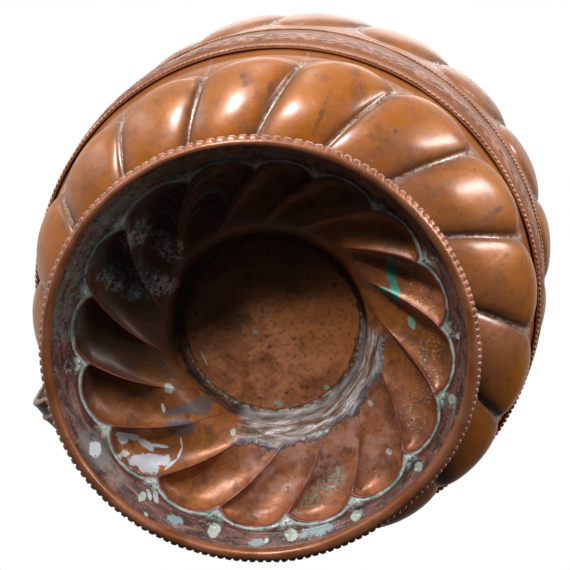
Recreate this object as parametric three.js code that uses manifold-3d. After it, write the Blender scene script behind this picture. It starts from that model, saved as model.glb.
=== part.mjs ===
// A raised copper jug: a bell foot with sixteen slanting lobes, a lobed body with a plain belly band,
// a cylindrical neck with a pouring lip, and a ribbed strap handle held by rivets.
// Millimetres, +Z up. The handle lies towards -X and the pouring lip towards +X. Every piece is made
// about the jug's axis, and the finished jug is moved until the origin is under its middle.

import * as THREE from 'three';
import { mergeVertices } from 'three/addons/utils/BufferGeometryUtils.js';
import Module from 'manifold-3d';

const wasm = await Module();
wasm.setup();

// Driving dimensions, shared
const sheet = 1.4; // thickness of the raised copper sheet
const seat = 0.3; // clearance between pieces that are soldered, lapped or riveted together
const columnsPerLobe = 4; // facets across one lobe

// Foot
const hoopOuterRadius = 100;
const hoopWidth = 4.8; // across the rim of the foot, from inside to outside
const hoopHeight = 6.6;
const hoopWorn = 1.6; // half width of the flat ring that the jug stands on
const footHeight = 50.6; // standing plane to the underside of the body
const waistRadius = 46.8; // outside of the foot's waist
const footBorder = 5.7; // plain border between the foot's lobes and the hoop
const footBorderRise = 5.9; // how far the border rises from the hoop to the lobes
const footLobes = 16;
const footSwell = 5; // how far a foot lobe stands out of its creases
const footSlant = 28; // degrees that a foot lobe turns between its two ends
const footPhase = 11.3; // degrees, the first crease at the lobes' outer ends

// Body
const bellyRadius = 123.8; // middle of the belly band
const bandBulge = 1.4; // how far the band's middle stands out of its edges
const lowerBowlHeight = 49.9; // body's underside to the band
const bandHeight = 47;
const lowerLobes = 16;
const lowerSwell = 4.5;
const lowerSlant = 24;
const lowerPhase = 21.8; // degrees, the first crease at the lobes' upper ends
const upperLobes = 18;
const upperSwell = 5;
const upperSlant = 26;
const upperPhase = 18.8; // degrees, the first crease at the lobes' lower ends
const shoulderHeight = 89.5; // band's upper edge to the foot of the neck

// Neck and mouth
const neckRadius = 44; // outside of the straight neck
const neckHeight = 62; // straight part, from the shoulder to where the mouth opens
const neckColumns = 40;
const collarHeight = 9;
const collarProud = 4.2; // how far the collar stands out of the neck
const mouthFlare = 16; // how much wider the mouth is than the neck, on each side
const mouthFlareHeight = 20;
const mouthRimThickness = 4.4;
const lipReach = 17; // how far the pouring lip is drawn out
const lipRise = 8;
const lipHalfAngle = 24; // degrees

// Handle
const strapWidth = 46.8;
const strapEndWidth = 32;
const strapThickness = 2.2; // in the hollow between the two ribs
const strapRibHeight = 1.8; // ribs above the bottom of that hollow
const strapRibOffset = 13.2;
const strapRibWidth = 3;
const strapBorderRise = 0.4; // borders above the bottom of the hollow
const handleReach = 49.2; // belly to the outermost face of the strap
const handleDrop = 17.5; // top of the grip below the place where the mouth opens
const strapSteps = 34; // facets along the strap
const rivetShankRadius = 2.3;
const rivetHeadRadius = 4.8;
const rivetHeadHeight = 2.2;
const rivetSpacing = 20;
const rivetSides = 8;

// Solder
const solderLeg = 3.2; // each leg of the fillet under the body
const seamHalfWidth = 4;
const seamThickness = 0.9;

// Heights and radii that follow from the driving dimensions
const hoopInnerRadius = hoopOuterRadius - hoopWidth;
const footTipRadius = hoopInnerRadius - footBorder;
const footTipHeight = hoopHeight + footBorderRise;
const bandEdgeRadius = bellyRadius - bandBulge;
const bandBottom = footHeight + lowerBowlHeight;
const bandTop = bandBottom + bandHeight;
const seamHeight = (bandBottom + bandTop) / 2;
const edgeRadius = bandEdgeRadius - sheet - seat; // plain edges of the bowls, inside the band
const shoulderTop = bandTop + shoulderHeight;
const flangeTop = shoulderTop + 4; // end of the upper bowl, turned up round the neck
const neckBottom = shoulderTop - 6;
const flareBottom = shoulderTop + neckHeight;
const mouthTop = flareBottom + mouthFlareHeight;
const mouthRadius = neckRadius + mouthFlare;

const turn = (degrees) => THREE.MathUtils.degToRad(degrees);

// Copper and solder colours
const copper = new THREE.MeshStandardMaterial({ color: 0x9c5a34, roughness: 0.38, metalness: 1 });
const rimCopper = new THREE.MeshStandardMaterial({ color: 0xa5603f, roughness: 0.34, metalness: 1 });
const innerCopper = new THREE.MeshStandardMaterial({ color: 0x7c4527, roughness: 0.5, metalness: 1 });
const solder = new THREE.MeshStandardMaterial({ color: 0x8c8984, roughness: 0.6, metalness: 0.6 });

const group = new THREE.Group();

function addPiece(name, geometry, material) {
  geometry.computeVertexNormals();
  const mesh = new THREE.Mesh(geometry, material);
  mesh.name = name;
  group.add(mesh);
  return mesh;
}

// Bare positions with shared vertices merged, and triangles without area dropped
function weld(geometry) {
  const bare = geometry.clone();
  bare.deleteAttribute('normal');
  bare.deleteAttribute('uv');
  const merged = mergeVertices(bare, 1e-4);
  const index = merged.index.array;
  const kept = [];
  for (let i = 0; i < index.length; i += 3) {
    const [a, b, c] = [index[i], index[i + 1], index[i + 2]];
    if (a !== b && b !== c && c !== a) {
      kept.push(a, b, c);
    }
  }
  merged.setIndex(kept);
  return merged;
}

function toManifold(geometry) {
  const merged = weld(geometry);
  const vertProperties = new Float32Array(merged.attributes.position.array);
  const triVerts = new Uint32Array(merged.index.array);
  return new wasm.Manifold(new wasm.Mesh({ numProp: 3, vertProperties, triVerts }));
}

function fromManifold(solid) {
  const mesh = solid.getMesh();
  const geometry = new THREE.BufferGeometry();
  geometry.setAttribute('position', new THREE.BufferAttribute(new Float32Array(mesh.vertProperties), 3));
  geometry.setIndex(new THREE.BufferAttribute(new Uint32Array(mesh.triVerts), 1));
  return geometry;
}

// A station is one point of a wall's outer face in the (radius, height) plane, with the direction
// out of the metal, the swell of the lobe crest there, and the turn of the lobes there.
function station(r, z, out, swell = 0, slant = 0, tip = 0, lip = 0) {
  return { r, z, out, swell, slant, tip, lip };
}

// Stations along a curve, with the metal's outer side to the left (1) or right (-1) of its direction
function curveStations(curve, parameters, side, extras) {
  return parameters.map((t) => {
    const point = curve.getPoint(t);
    const tangent = curve.getTangent(t);
    const out = new THREE.Vector2(-tangent.y * side, tangent.x * side);
    return { ...station(point.x, point.y, out), ...extras(t) };
  });
}

// The height of a gadroon across its width and at its rounded tip, from 0 at the crease to 1 on the crest
function lobeHeight(across, tip) {
  const edge = across * across + tip * tip;
  return edge < 1 ? Math.sqrt(1 - edge) : 0;
}

// A wall of even thickness, revolved about the axis and then swelled into lobes and drawn into a lip
function revolvedWall(stations, columns, { lobes = 0, phase = 0, closedBottom = false } = {}) {
  const inner = stations.map((s) => ({
    ...s,
    r: Math.max(s.r - sheet * s.out.x, 0),
    z: s.z - sheet * s.out.y,
  })).reverse();
  const ends = closedBottom ? [] : [stations[0]];
  return revolveLoop([...stations, ...inner, ...ends], columns, lobes, phase);
}

function revolveLoop(loop, columns, lobes, phase) {
  const geometry = new THREE.LatheGeometry(loop.map((s) => new THREE.Vector2(s.r, s.z)), columns);
  const position = geometry.attributes.position;
  const lipWidth = turn(lipHalfAngle);
  for (let i = 0; i < position.count; i += 1) {
    const column = Math.floor(i / loop.length) % columns;
    const s = loop[i % loop.length];
    const share = lobes > 0 ? ((column * lobes) / columns) % 1 : 0;
    const swell = s.swell * lobeHeight(2 * share - 1, s.tip);
    const start = (2 * Math.PI * column) / columns;
    const angle = start + turn(phase + s.slant);
    const fromLip = Math.atan2(Math.sin(angle), Math.cos(angle)) / lipWidth;
    const lip = s.lip * Math.exp(-fromLip * fromLip);
    const r = s.r === 0 ? 0 : s.r + s.out.x * swell + lipReach * lip;
    position.setXYZ(i, r * Math.cos(angle), r * Math.sin(angle), s.z + s.out.y * swell + lipRise * lip);
  }
  return orientOutwards(weld(geometry));
}

// A solid ring with any closed section of (radius, height) points
function sectionRing(points, columns, lip = 0) {
  const flat = new THREE.Vector2(0, 0);
  const loop = [...points, points[0]].map(([r, z]) => station(r, z, flat, 0, 0, 0, lip));
  return revolveLoop(loop, columns, 0, 0);
}

// Turns every face round if the mesh encloses a negative volume
function orientOutwards(geometry) {
  const p = geometry.attributes.position;
  const index = geometry.index.array;
  let volume = 0;
  const [a, b, c] = [new THREE.Vector3(), new THREE.Vector3(), new THREE.Vector3()];
  for (let i = 0; i < index.length; i += 3) {
    a.fromBufferAttribute(p, index[i]);
    b.fromBufferAttribute(p, index[i + 1]);
    c.fromBufferAttribute(p, index[i + 2]);
    volume += a.dot(b.cross(c));
  }
  if (volume < 0) {
    for (let i = 0; i < index.length; i += 3) {
      [index[i], index[i + 1]] = [index[i + 1], index[i]];
    }
  }
  return geometry;
}

const evenly = (count) => Array.from({ length: count }, (_, i) => i / (count - 1));

// Places along a lobed wall, closer together towards the rounded tips
function lobeRows(count, crowding) {
  return evenly(count).map((t) => 1 - (1 - t) ** crowding);
}

// How far a place is into the rounded tip of the lobes, 0 before it and 1 at its end
const tipShare = (t, tipStart) => Math.max(0, (t - tipStart) / (1 - tipStart));

const level = new THREE.Vector2(1, 0);

// Foot: waist, lobed bell and the plain border that the standing hoop is soldered to
function makeFoot() {
  const top = footHeight - seat;
  const bell = new THREE.CubicBezierCurve(
    new THREE.Vector2(waistRadius, top - 5),
    new THREE.Vector2(waistRadius + 1.5, top - 18),
    new THREE.Vector2(footTipRadius - 20, footTipHeight + 10),
    new THREE.Vector2(footTipRadius, footTipHeight),
  );
  const lobed = curveStations(bell, lobeRows(8, 1.35), 1, (t) => ({
    swell: footSwell * Math.min(1, 2.4 * t),
    slant: -footSlant * (1 - t) ** 1.3,
    tip: tipShare(t, 0.84),
  }));
  const stations = [
    station(waistRadius, top, level, 0, -footSlant),
    ...lobed,
    station(hoopInnerRadius - seat, hoopHeight - 0.8, new THREE.Vector2(0.8, 0.6)),
  ];
  return revolvedWall(stations, footLobes * columnsPerLobe, { lobes: footLobes, phase: footPhase });
}

// The hoop round the foot's edge, flat where it stands
function makeFootHoop() {
  const middle = (hoopInnerRadius + hoopOuterRadius) / 2;
  return sectionRing([
    [middle - hoopWorn, 0],
    [middle + hoopWorn, 0],
    [hoopOuterRadius - 0.4, 1.6],
    [hoopOuterRadius, hoopHeight / 2],
    [hoopOuterRadius - 0.5, hoopHeight - 1],
    [middle, hoopHeight],
    [hoopInnerRadius, hoopHeight - 0.5],
    [hoopInnerRadius, 2],
  ], 48);
}

// Lower bowl: flat underside, sixteen slanting lobes and a plain edge inside the belly band
function makeLowerBowl() {
  const base = new THREE.CubicBezierCurve(
    new THREE.Vector2(waistRadius + 3, footHeight),
    new THREE.Vector2(waistRadius + 42, footHeight + 1.5),
    new THREE.Vector2(edgeRadius - 2.4, bandBottom - 30),
    new THREE.Vector2(edgeRadius - 1.7, bandBottom - 3.5),
  );
  const lobed = curveStations(base, lobeRows(8, 1.3), -1, (t) => ({
    swell: lowerSwell * Math.min(1, 1.8 * t),
    slant: -lowerSlant * (1 - t) ** 1.6,
    tip: tipShare(t, 0.78),
  }));
  const stations = [
    station(0, footHeight, new THREE.Vector2(0, -1), 0, -lowerSlant),
    ...lobed,
    station(edgeRadius, bandBottom + 2, level),
    station(edgeRadius, seamHeight - seat / 2, level),
  ];
  const options = { lobes: lowerLobes, phase: lowerPhase, closedBottom: true };
  return revolvedWall(stations, lowerLobes * columnsPerLobe, options);
}

// Upper bowl: a plain edge inside the band, eighteen slanting lobes and the shoulder up to the neck
function makeUpperBowl() {
  const flangeRadius = neckRadius + sheet + seat;
  const base = new THREE.CubicBezierCurve(
    new THREE.Vector2(flangeRadius + 3, shoulderTop),
    new THREE.Vector2(flangeRadius + 72, shoulderTop - 5),
    new THREE.Vector2(edgeRadius, bandTop + 52),
    new THREE.Vector2(edgeRadius + 1.6, bandTop + 11.5),
  );
  const lobed = curveStations(base, lobeRows(8, 1.3), 1, (t) => ({
    swell: upperSwell * Math.min(1, 2.2 * t),
    slant: upperSlant * (1 - t),
    tip: tipShare(t, 0.8),
  }));
  const stations = [
    station(flangeRadius, flangeTop, level, 0, upperSlant),
    ...lobed,
    station(edgeRadius, bandTop, level),
    station(edgeRadius, seamHeight + seat / 2, level),
  ];
  return revolvedWall(stations, upperLobes * columnsPerLobe, { lobes: upperLobes, phase: upperPhase });
}

// Belly band: a slightly bulged hoop over the seam between the two bowls
function makeBellyBand() {
  const rows = evenly(5).map((t) => {
    const fromMiddle = 2 * t - 1;
    return [bandEdgeRadius + bandBulge * (1 - fromMiddle * fromMiddle), bandBottom + bandHeight * t];
  });
  const back = bandEdgeRadius - sheet;
  return sectionRing([...rows, [back, bandTop], [back, bandBottom]], 72);
}

// Neck: a straight pipe that stands in the shoulder, opened into a flared mouth with a pouring lip
function makeNeck() {
  const flare = new THREE.CubicBezierCurve(
    new THREE.Vector2(neckRadius, flareBottom),
    new THREE.Vector2(neckRadius + 1, flareBottom + 10),
    new THREE.Vector2(mouthRadius - 7, mouthTop - 6),
    new THREE.Vector2(mouthRadius, mouthTop),
  );
  const mouth = curveStations(flare, evenly(6), -1, (t) => ({ lip: t * t }));
  const stations = [
    station(neckRadius, neckBottom, level),
    station(neckRadius, (neckBottom + flareBottom) / 2, level),
    ...mouth,
  ];
  return revolvedWall(stations, neckColumns);
}

// The mouth's rolled rim, which sits on the flared edge and follows the lip
function makeMouthRim() {
  const half = mouthRimThickness / 2;
  const centre = mouthRadius + 0.6;
  const middle = mouthTop + half + seat + 0.6;
  const points = evenly(9).slice(0, 8).map((t) => {
    const angle = 2 * Math.PI * t;
    return [centre + half * Math.cos(angle), middle + half * Math.sin(angle)];
  });
  return sectionRing(points, neckColumns, 1);
}

// The collar that covers the joint between shoulder and neck
function makeNeckCollar() {
  const inside = neckRadius + seat;
  const bottom = flangeTop + seat;
  const proud = inside + sheet + seat + collarProud;
  return sectionRing([
    [inside, bottom],
    [proud - 1.2, bottom],
    [proud, bottom + collarHeight * 0.3],
    [proud, bottom + collarHeight * 0.6],
    [proud - 1.6, bottom + collarHeight * 0.85],
    [inside + 1, bottom + collarHeight],
    [inside, bottom + collarHeight],
  ], neckColumns);
}

// The solder fillet in the corner between the foot's waist and the body
function makeFootSolder() {
  const wall = waistRadius - sheet - seat;
  const under = footHeight - seat;
  return sectionRing([
    [wall, under],
    [wall - solderLeg, under],
    [wall - solderLeg * 0.35, under - solderLeg * 0.4],
    [wall, under - solderLeg],
  ], 40);
}

// The run of solder over the seam between the two bowls, inside the body
function makeSeamSolder() {
  const wall = edgeRadius - sheet - seat;
  return sectionRing([
    [wall, seamHeight - seamHalfWidth],
    [wall, seamHeight + seamHalfWidth],
    [wall - seamThickness, seamHeight + seamHalfWidth / 2],
    [wall - seamThickness, seamHeight - seamHalfWidth / 2],
  ], 48);
}

// The strap's inner face, from the band up, round the grip, and turned up along the neck
const bandSeat = bellyRadius + seat;
const neckSeat = neckRadius + seat;
const outermost = bellyRadius + handleReach - strapThickness - strapRibHeight;
const handleTop = flareBottom - handleDrop;
const strapLow = bandBottom + 5;
const neckRivetTop = flareBottom - 8;
const neckFoot = neckRivetTop - rivetSpacing - 6;

function strapLine() {
  const reach = outermost - bandSeat;
  const rise = handleTop - bandTop;
  const across = outermost - neckSeat;
  const onBand = [[bandSeat, strapLow], [bandSeat, strapLow + 15], [bandSeat, bandTop - 9]];
  const lower = [
    [0.024, -0.022], [0.1, 0.022], [0.22, 0.064], [0.43, 0.128], [0.64, 0.193], [0.8, 0.248],
    [0.93, 0.343], [0.98, 0.445],
  ].map(([out, up]) => [bandSeat + reach * out, bandTop + rise * up]);
  const upper = [
    [1, 0.55], [0.991, 0.675], [0.952, 0.788], [0.872, 0.887], [0.756, 0.96], [0.613, 0.998],
    [0.461, 1], [0.317, 0.966], [0.193, 0.905],
  ].map(([out, up]) => [neckSeat + across * out, bandTop + rise * up]);
  const onNeck = [
    [neckSeat + 12.7, neckFoot - 4.2],
    [neckSeat + 5.9, neckFoot - 7],
    [neckSeat + 1.6, neckFoot - 5],
    [neckSeat, neckFoot],
    [neckSeat, neckRivetTop - rivetSpacing / 2],
    [neckSeat, neckRivetTop + 7],
  ];
  const places = [...onBand, ...lower, ...upper, ...onNeck];
  return new THREE.CatmullRomCurve3(places.map(([r, z]) => new THREE.Vector3(r, z, 0)));
}

// Places along the strap, with the direction out of its ribbed face, and how nearly it lies against
// the band or the neck, where it is bent round them
function strapStations() {
  const line = strapLine();
  const { clamp } = THREE.MathUtils;
  return evenly(strapSteps + 1).map((t) => {
    const { x: reach, y: z } = line.getPoint(t);
    const r = Math.max(reach, t < 0.5 ? bandSeat : neckSeat);
    const along = line.getTangent(t);
    const nearBand = t < 0.5 ? 1 - clamp((z - bandTop + 9) / 12, 0, 1) : 0;
    const nearNeck = t > 0.5 ? 1 - clamp((r - neckSeat - 4) / 20, 0, 1) : 0;
    return { r, z, out: new THREE.Vector2(along.y, -along.x), nearBand, nearNeck };
  });
}

// The strap's section: a plain inner face at 0, and outside it a hollow between two ribs, with a flat
// border and a rolled edge on each side
function strapSection() {
  const half = strapWidth / 2;
  const face = strapThickness;
  const top = face + strapRibHeight;
  const rib = strapRibOffset;
  const right = [
    [half / 2, 0],
    [half, 0],
    [half, face + strapRibHeight / 2],
    [half - 2, face + strapBorderRise],
    [rib + strapRibWidth / 2, face + strapBorderRise],
    [rib, top],
    [rib - strapRibWidth / 2, top - 0.5],
    [rib / 2, face + strapBorderRise],
  ];
  const left = right.map(([x, y]) => [-x, y]).reverse();
  const outline = [...right, [0, face], ...left, [0, 0]].map(([x, y]) => new THREE.Vector2(x, y));
  return new THREE.Shape(outline);
}

// A straight blank, bent along the strap's line and narrowed where it is riveted
function makeStrap() {
  const blank = { depth: strapSteps, steps: strapSteps, bevelEnabled: false };
  const geometry = new THREE.ExtrudeGeometry(strapSection(), blank);
  const stations = strapStations();
  const narrowing = 1 - strapEndWidth / strapWidth;
  const sag = (radius, across) => radius - Math.sqrt(radius * radius - across * across);
  const position = geometry.attributes.position;
  for (let i = 0; i < position.count; i += 1) {
    const s = stations[Math.round(position.getZ(i))];
    const across = position.getX(i) * (1 - narrowing * Math.max(s.nearBand, s.nearNeck));
    const raised = position.getY(i);
    const bent = sag(bandSeat, across) * s.nearBand + sag(neckSeat, across) * s.nearNeck;
    position.setXYZ(i, bent - s.r - s.out.x * raised, across, s.z + s.out.y * raised);
  }
  const solid = drill(geometry, bandRivetHeights, bandSeat - 5, bandSeat + strapThickness + 5);
  return drill(solid, neckRivetHeights, neckSeat - 5, neckSeat + strapThickness + 5);
}

// A round bar along X between two distances from the axis, on the handle's side
function handleSideBar(radius, from, to, height) {
  const bar = new THREE.CylinderGeometry(radius, radius, to - from, rivetSides);
  bar.rotateZ(Math.PI / 2);
  bar.translate(-(from + to) / 2, 0, height);
  return bar;
}

const bandRivetHeights = [seamHeight - rivetSpacing / 2, seamHeight + rivetSpacing / 2];
const neckRivetHeights = [neckRivetTop - rivetSpacing, neckRivetTop];
const holeRadius = rivetShankRadius + seat;

// Cuts the holes for a column of rivets through one wall or strap
function drill(geometry, heights, from, to) {
  const blank = toManifold(orientOutwards(weld(geometry)));
  const bars = heights.map((height) => toManifold(handleSideBar(holeRadius, from, to, height)));
  return fromManifold(bars.reduce((solid, bar) => solid.subtract(bar), blank));
}

// A rivet hammered over at both ends, lying along X, its inner head clear of the curved wall's inside
function makeRivet(insideRadius, outsideFace, height) {
  const inner = Math.sqrt(insideRadius * insideRadius - rivetHeadRadius * rivetHeadRadius) - seat;
  const outer = outsideFace + seat;
  const head = rivetHeadHeight;
  const profile = [
    [0, inner - head],
    [rivetHeadRadius * 0.6, inner - head * 0.85],
    [rivetHeadRadius, inner],
    [rivetShankRadius, inner],
    [rivetShankRadius, outer],
    [rivetHeadRadius, outer],
    [rivetHeadRadius * 0.6, outer + head * 0.85],
    [0, outer + head],
  ];
  const outline = profile.map(([r, along]) => new THREE.Vector2(r, along));
  const geometry = new THREE.LatheGeometry(outline, rivetSides);
  geometry.rotateZ(Math.PI / 2);
  geometry.translate(0, 0, height);
  return orientOutwards(weld(geometry));
}

const strapFace = strapThickness + strapBorderRise;
const bandInside = edgeRadius - sheet;
const neckInside = neckRadius - sheet;
const bowlHoles = [bandInside - 5, bandSeat + 5];
const neckHoles = [neckInside - 5, neckSeat + 5];

addPiece('foot', makeFoot(), innerCopper);
addPiece('foot_hoop', makeFootHoop(), rimCopper);
addPiece('foot_solder_ring', makeFootSolder(), solder);
addPiece('lower_bowl', drill(makeLowerBowl(), [bandRivetHeights[0]], ...bowlHoles), copper);
addPiece('upper_bowl', drill(makeUpperBowl(), [bandRivetHeights[1]], ...bowlHoles), copper);
addPiece('belly_band', drill(makeBellyBand(), bandRivetHeights, ...bowlHoles), copper);
addPiece('seam_solder_ring', makeSeamSolder(), solder);
addPiece('neck_collar', makeNeckCollar(), rimCopper);
addPiece('neck', drill(makeNeck(), neckRivetHeights, ...neckHoles), copper);
addPiece('mouth_rim', makeMouthRim(), rimCopper);
addPiece('handle_strap', makeStrap(), copper);
bandRivetHeights.forEach((height, i) => {
  addPiece(`band_rivet_${i + 1}`, makeRivet(bandInside, bandSeat + strapFace, height), rimCopper);
});
neckRivetHeights.forEach((height, i) => {
  addPiece(`neck_rivet_${i + 1}`, makeRivet(neckInside, neckSeat + strapFace, height), rimCopper);
});

// The origin goes on the standing plane, midway between the handle and the front of the body
const whole = new THREE.Box3().setFromObject(group);
const middleX = (whole.min.x + whole.max.x) / 2;
group.children.forEach((piece) => piece.geometry.translate(-middleX, 0, 0));

export default group;
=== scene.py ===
"""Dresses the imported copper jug: gadrooned shells, beaded belly band, ribbed strap, aged copper.

Sizes are in millimetres and angles in degrees until a mesh is finished. The jug is modelled about its
own axis, and each finished mesh is moved to where that axis stands in the frame.
"""

import functools
import logging
import math
from dataclasses import dataclass, field
from enum import Enum

import bmesh
import bpy
import numpy as np
from mathutils import Matrix, Vector, noise


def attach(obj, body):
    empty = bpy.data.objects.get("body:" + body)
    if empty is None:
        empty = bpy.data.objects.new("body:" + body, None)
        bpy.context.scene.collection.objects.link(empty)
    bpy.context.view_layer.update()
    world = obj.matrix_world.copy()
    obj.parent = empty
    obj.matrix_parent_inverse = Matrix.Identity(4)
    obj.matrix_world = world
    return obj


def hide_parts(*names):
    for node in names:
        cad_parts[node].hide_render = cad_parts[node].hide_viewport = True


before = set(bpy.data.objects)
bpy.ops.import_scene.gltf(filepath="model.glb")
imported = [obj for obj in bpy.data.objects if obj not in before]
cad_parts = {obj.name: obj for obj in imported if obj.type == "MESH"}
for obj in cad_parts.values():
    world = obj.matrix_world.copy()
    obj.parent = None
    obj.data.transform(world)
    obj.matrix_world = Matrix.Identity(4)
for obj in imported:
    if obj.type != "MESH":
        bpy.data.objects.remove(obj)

LOG = logging.getLogger("jug")
MM = 0.001
AXIS_X = 24.01
PHOTO_TURN = 38.9  # from an angle read off the photograph to the same angle about the jug's axis
UV_NAME = "lobes"
SHEET = 1.4
ON_AXIS = 0.01  # a smaller radius counts as on the axis
BEFORE_LOBES = -0.01  # the place along the lobes that stations before them get
END_STEPS = ((30, 5.0), (75, 2.0), (math.inf, 0.8))  # limits of rows, and the plain ends' step below each
PRESS_FADE = 14.0  # the height over which a pressed part fades out
CROWDING = 1.25  # above 1, stations stand closer together towards the tips
TORN_REACH = 2.4  # how far coarse noise moves a stroke's edge, against its half size
FINE_REACH = 1.6
ENDLESS = 1000.0  # a stroke's size along the axis
JOIN_WITHIN = 0.0005

Colour = tuple[int, int, int]
Material = bpy.types.Material
Point = tuple[float, float]


class Slot(Enum):
    """The record's material slots."""

    BODY = "body_copper"
    BAND = "band_copper"
    RIM = "rim_copper"
    HANDLE = "handle_copper"
    FOOT = "foot_copper"
    SOLDER = "solder"


class Side(Enum):
    """Which finish a part of a shell takes."""

    OUTSIDE = 0
    INSIDE = 1
    BASE = 2


def linear(colour: Colour) -> tuple[float, float, float, float]:
    """Turns a colour of 0 to 255 into the linear values that a shader reads.

    Args:
        colour: Red, green and blue as seen on a screen.

    Returns:
        Linear red, green, blue and an alpha of 1.
    """
    channels = [value / 255 for value in colour]
    steps = [c / 12.92 if c <= 0.04045 else ((c + 0.055) / 1.055) ** 2.4 for c in channels]
    return (steps[0], steps[1], steps[2], 1.0)


def smoothstep(value: float) -> float:
    """Eases 0 to 1 with level ends."""
    share = min(1.0, max(0.0, value))
    return share * share * (3 - 2 * share)


def photo_angle(angle: np.ndarray) -> np.ndarray:
    """Turns angles about the axis, in radians, into degrees as read off the photograph, -180 to 180."""
    return (np.degrees(angle) - PHOTO_TURN + 180) % 360 - 180


@dataclass(frozen=True)
class Sway:
    """Something that is strongest at one angle of the photograph and fades to both sides."""

    amount: float = 0.0
    middle: float = 0.0
    width: float = 30.0

    def at(self, angle: np.ndarray) -> np.ndarray:
        """Returns its strength at angles about the axis, in radians."""
        away = photo_angle(angle - math.radians(self.middle))
        return self.amount * np.exp(-((away / self.width) ** 2))


# Stains


@dataclass(frozen=True)
class Stroke:
    """A single stain: its middle about the axis, its half sizes, its lean, and how ragged it is."""

    x: float
    y: float
    long: float
    wide: float
    lean: float
    tear: float = 0.5
    soft: float = 0.08


class Stain(Enum):
    """What a stain is made of, as its colour and how strongly it covers."""

    PAINT = ((206, 208, 214), 0.95)
    PALE = ((196, 208, 196), 0.85)
    LEAD = ((98, 92, 94), 0.8)
    ASH = ((118, 110, 106), 0.75)
    BLUE = ((158, 186, 188), 0.75)
    VERDIGRIS = ((52, 142, 122), 0.92)
    CRUST = ((142, 196, 172), 0.85)
    MOSS = ((34, 54, 44), 0.7)
    SPOT = ((84, 56, 38), 0.55)


BODY_STAINS: dict[Stain, list[Stroke]] = {
    Stain.SPOT: [
        Stroke(58.1, -98.1, 1.5, 1.2, 30, 0.5, 0.3),
        Stroke(57.2, -94.6, 1.4, 1.1, 30, 0.5, 0.3),
        Stroke(65.7, -85.2, 3.4, 1.6, 128, 0.8, 0.4),
        Stroke(113.2, 23.9, 1.7, 1.5, 12, 0.5, 0.3),
        Stroke(103.1, 43.0, 1.3, 1.2, 20, 0.4, 0.3),
        Stroke(99.8, -35.5, 0.9, 0.8, 0, 0.5, 0.3),
        Stroke(78.9, -63.0, 7.0, 1.0, 150, 1.2, 0.5),
    ],
}

FOOT_STAINS: dict[Stain, list[Stroke]] = {
    Stain.ASH: [
        Stroke(-90.4, -8.8, 9.6, 5.0, 98, 0.5, 0.2),
        Stroke(-90.8, 9.0, 1.6, 1.5, 71),
        Stroke(52.3, 71.3, 2.4, 1.8, 112, 0.5, 0.2),
    ],
    Stain.LEAD: [
        Stroke(-59.4, 9.4, 6.9, 4.0, 46, 0.45, 0.15),
        Stroke(-56.5, 3.0, 6.4, 1.9, 23, 0.8, 0.2),
        Stroke(-48.2, 8.4, 6.0, 3.6, 41, 0.6, 0.15),
    ],
    Stain.MOSS: [
        Stroke(-51.5, -55.4, 4.4, 3.2, 96, 0.6, 0.3),
        Stroke(-30.0, -64.5, 16.0, 8.0, 98, 0.9, 0.5),
    ],
    Stain.BLUE: [
        Stroke(-83.1, 38.9, 3.9, 1.4, 59, 0.7),
        Stroke(-59.5, 70.3, 4.2, 1.2, 38, 0.9),
        Stroke(-33.6, 83.0, 8.6, 1.9, 22, 0.9, 0.25),
    ],
    Stain.PAINT: [
        Stroke(-78.6, -2.2, 5.6, 1.5, 60, 0.6),
        Stroke(-75.8, 6.2, 4.8, 1.6, 84, 0.5),
        Stroke(-81.6, -3.2, 2.3, 1.8, 74, 0.8),
        Stroke(-78.6, 12.0, 8.6, 2.7, 44, 0.6),
        Stroke(-80.0, 15.0, 5.0, 1.7, 47, 0.6),
        Stroke(-72.0, 10.4, 4.4, 0.7, 51, 0.7),
        Stroke(-84.8, 1.9, 2.2, 1.2, 73, 0.9),
        Stroke(-63.5, 15.6, 2.7, 0.5, 120, 0.3),
        Stroke(-67.0, 19.0, 2.6, 0.5, 152, 0.3),
        Stroke(-72.3, 20.0, 3.4, 0.6, -176, 0.4),
        Stroke(-60.4, -1.9, 2.2, 0.8, 115, 0.5),
        Stroke(-90.8, -9.4, 3.4, 2.4, 98, 0.7),
        Stroke(-85.9, 23.6, 3.0, 0.8, 104, 0.7),
        Stroke(-83.9, 25.8, 2.9, 1.2, 117, 0.7),
        Stroke(74.3, 49.0, 1.1, 1.0, 103, 0.3),
    ],
    Stain.PALE: [
        Stroke(-88.3, 21.9, 1.8, 1.6, 82, 0.4),
        Stroke(-90.6, 28.7, 1.3, 0.6, 84, 0.6),
        Stroke(-71.7, 54.5, 2.9, 2.6, 48, 0.35),
        Stroke(-44.6, 77.6, 3.0, 2.3, 32, 0.45),
        Stroke(-55.1, 72.7, 0.9, 0.9, 37, 0.4),
        Stroke(-14.6, 88.0, 3.0, 1.8, 8, 0.6, 0.15),
        Stroke(54.4, 70.6, 2.4, 1.6, 140, 0.7, 0.2),
        Stroke(22.6, 86.6, 2.2, 1.4, 165, 0.7, 0.2),
        Stroke(12.4, 75.8, 1.5, 1.2, 82, 0.5),
        Stroke(18.2, 53.8, 1.3, 1.1, 88, 0.5),
        Stroke(-42.8, 27.2, 1.4, 1.2, 76, 0.6),
        Stroke(-52.6, -7.5, 2.6, 1.8, 70, 0.9, 0.3),
    ],
    Stain.VERDIGRIS: [
        Stroke(65.4, 9.5, 6.9, 2.5, 122, 0.5),
        Stroke(61.3, 18.2, 5.6, 2.1, 114, 0.6),
        Stroke(56.4, 14.6, 3.0, 1.5, 48, 0.8),
    ],
    Stain.CRUST: [
        Stroke(57.9, 34.1, 3.0, 1.8, 113, 0.3),
        Stroke(57.2, 36.8, 1.0, 0.7, 113, 0.3),
    ],
}

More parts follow.
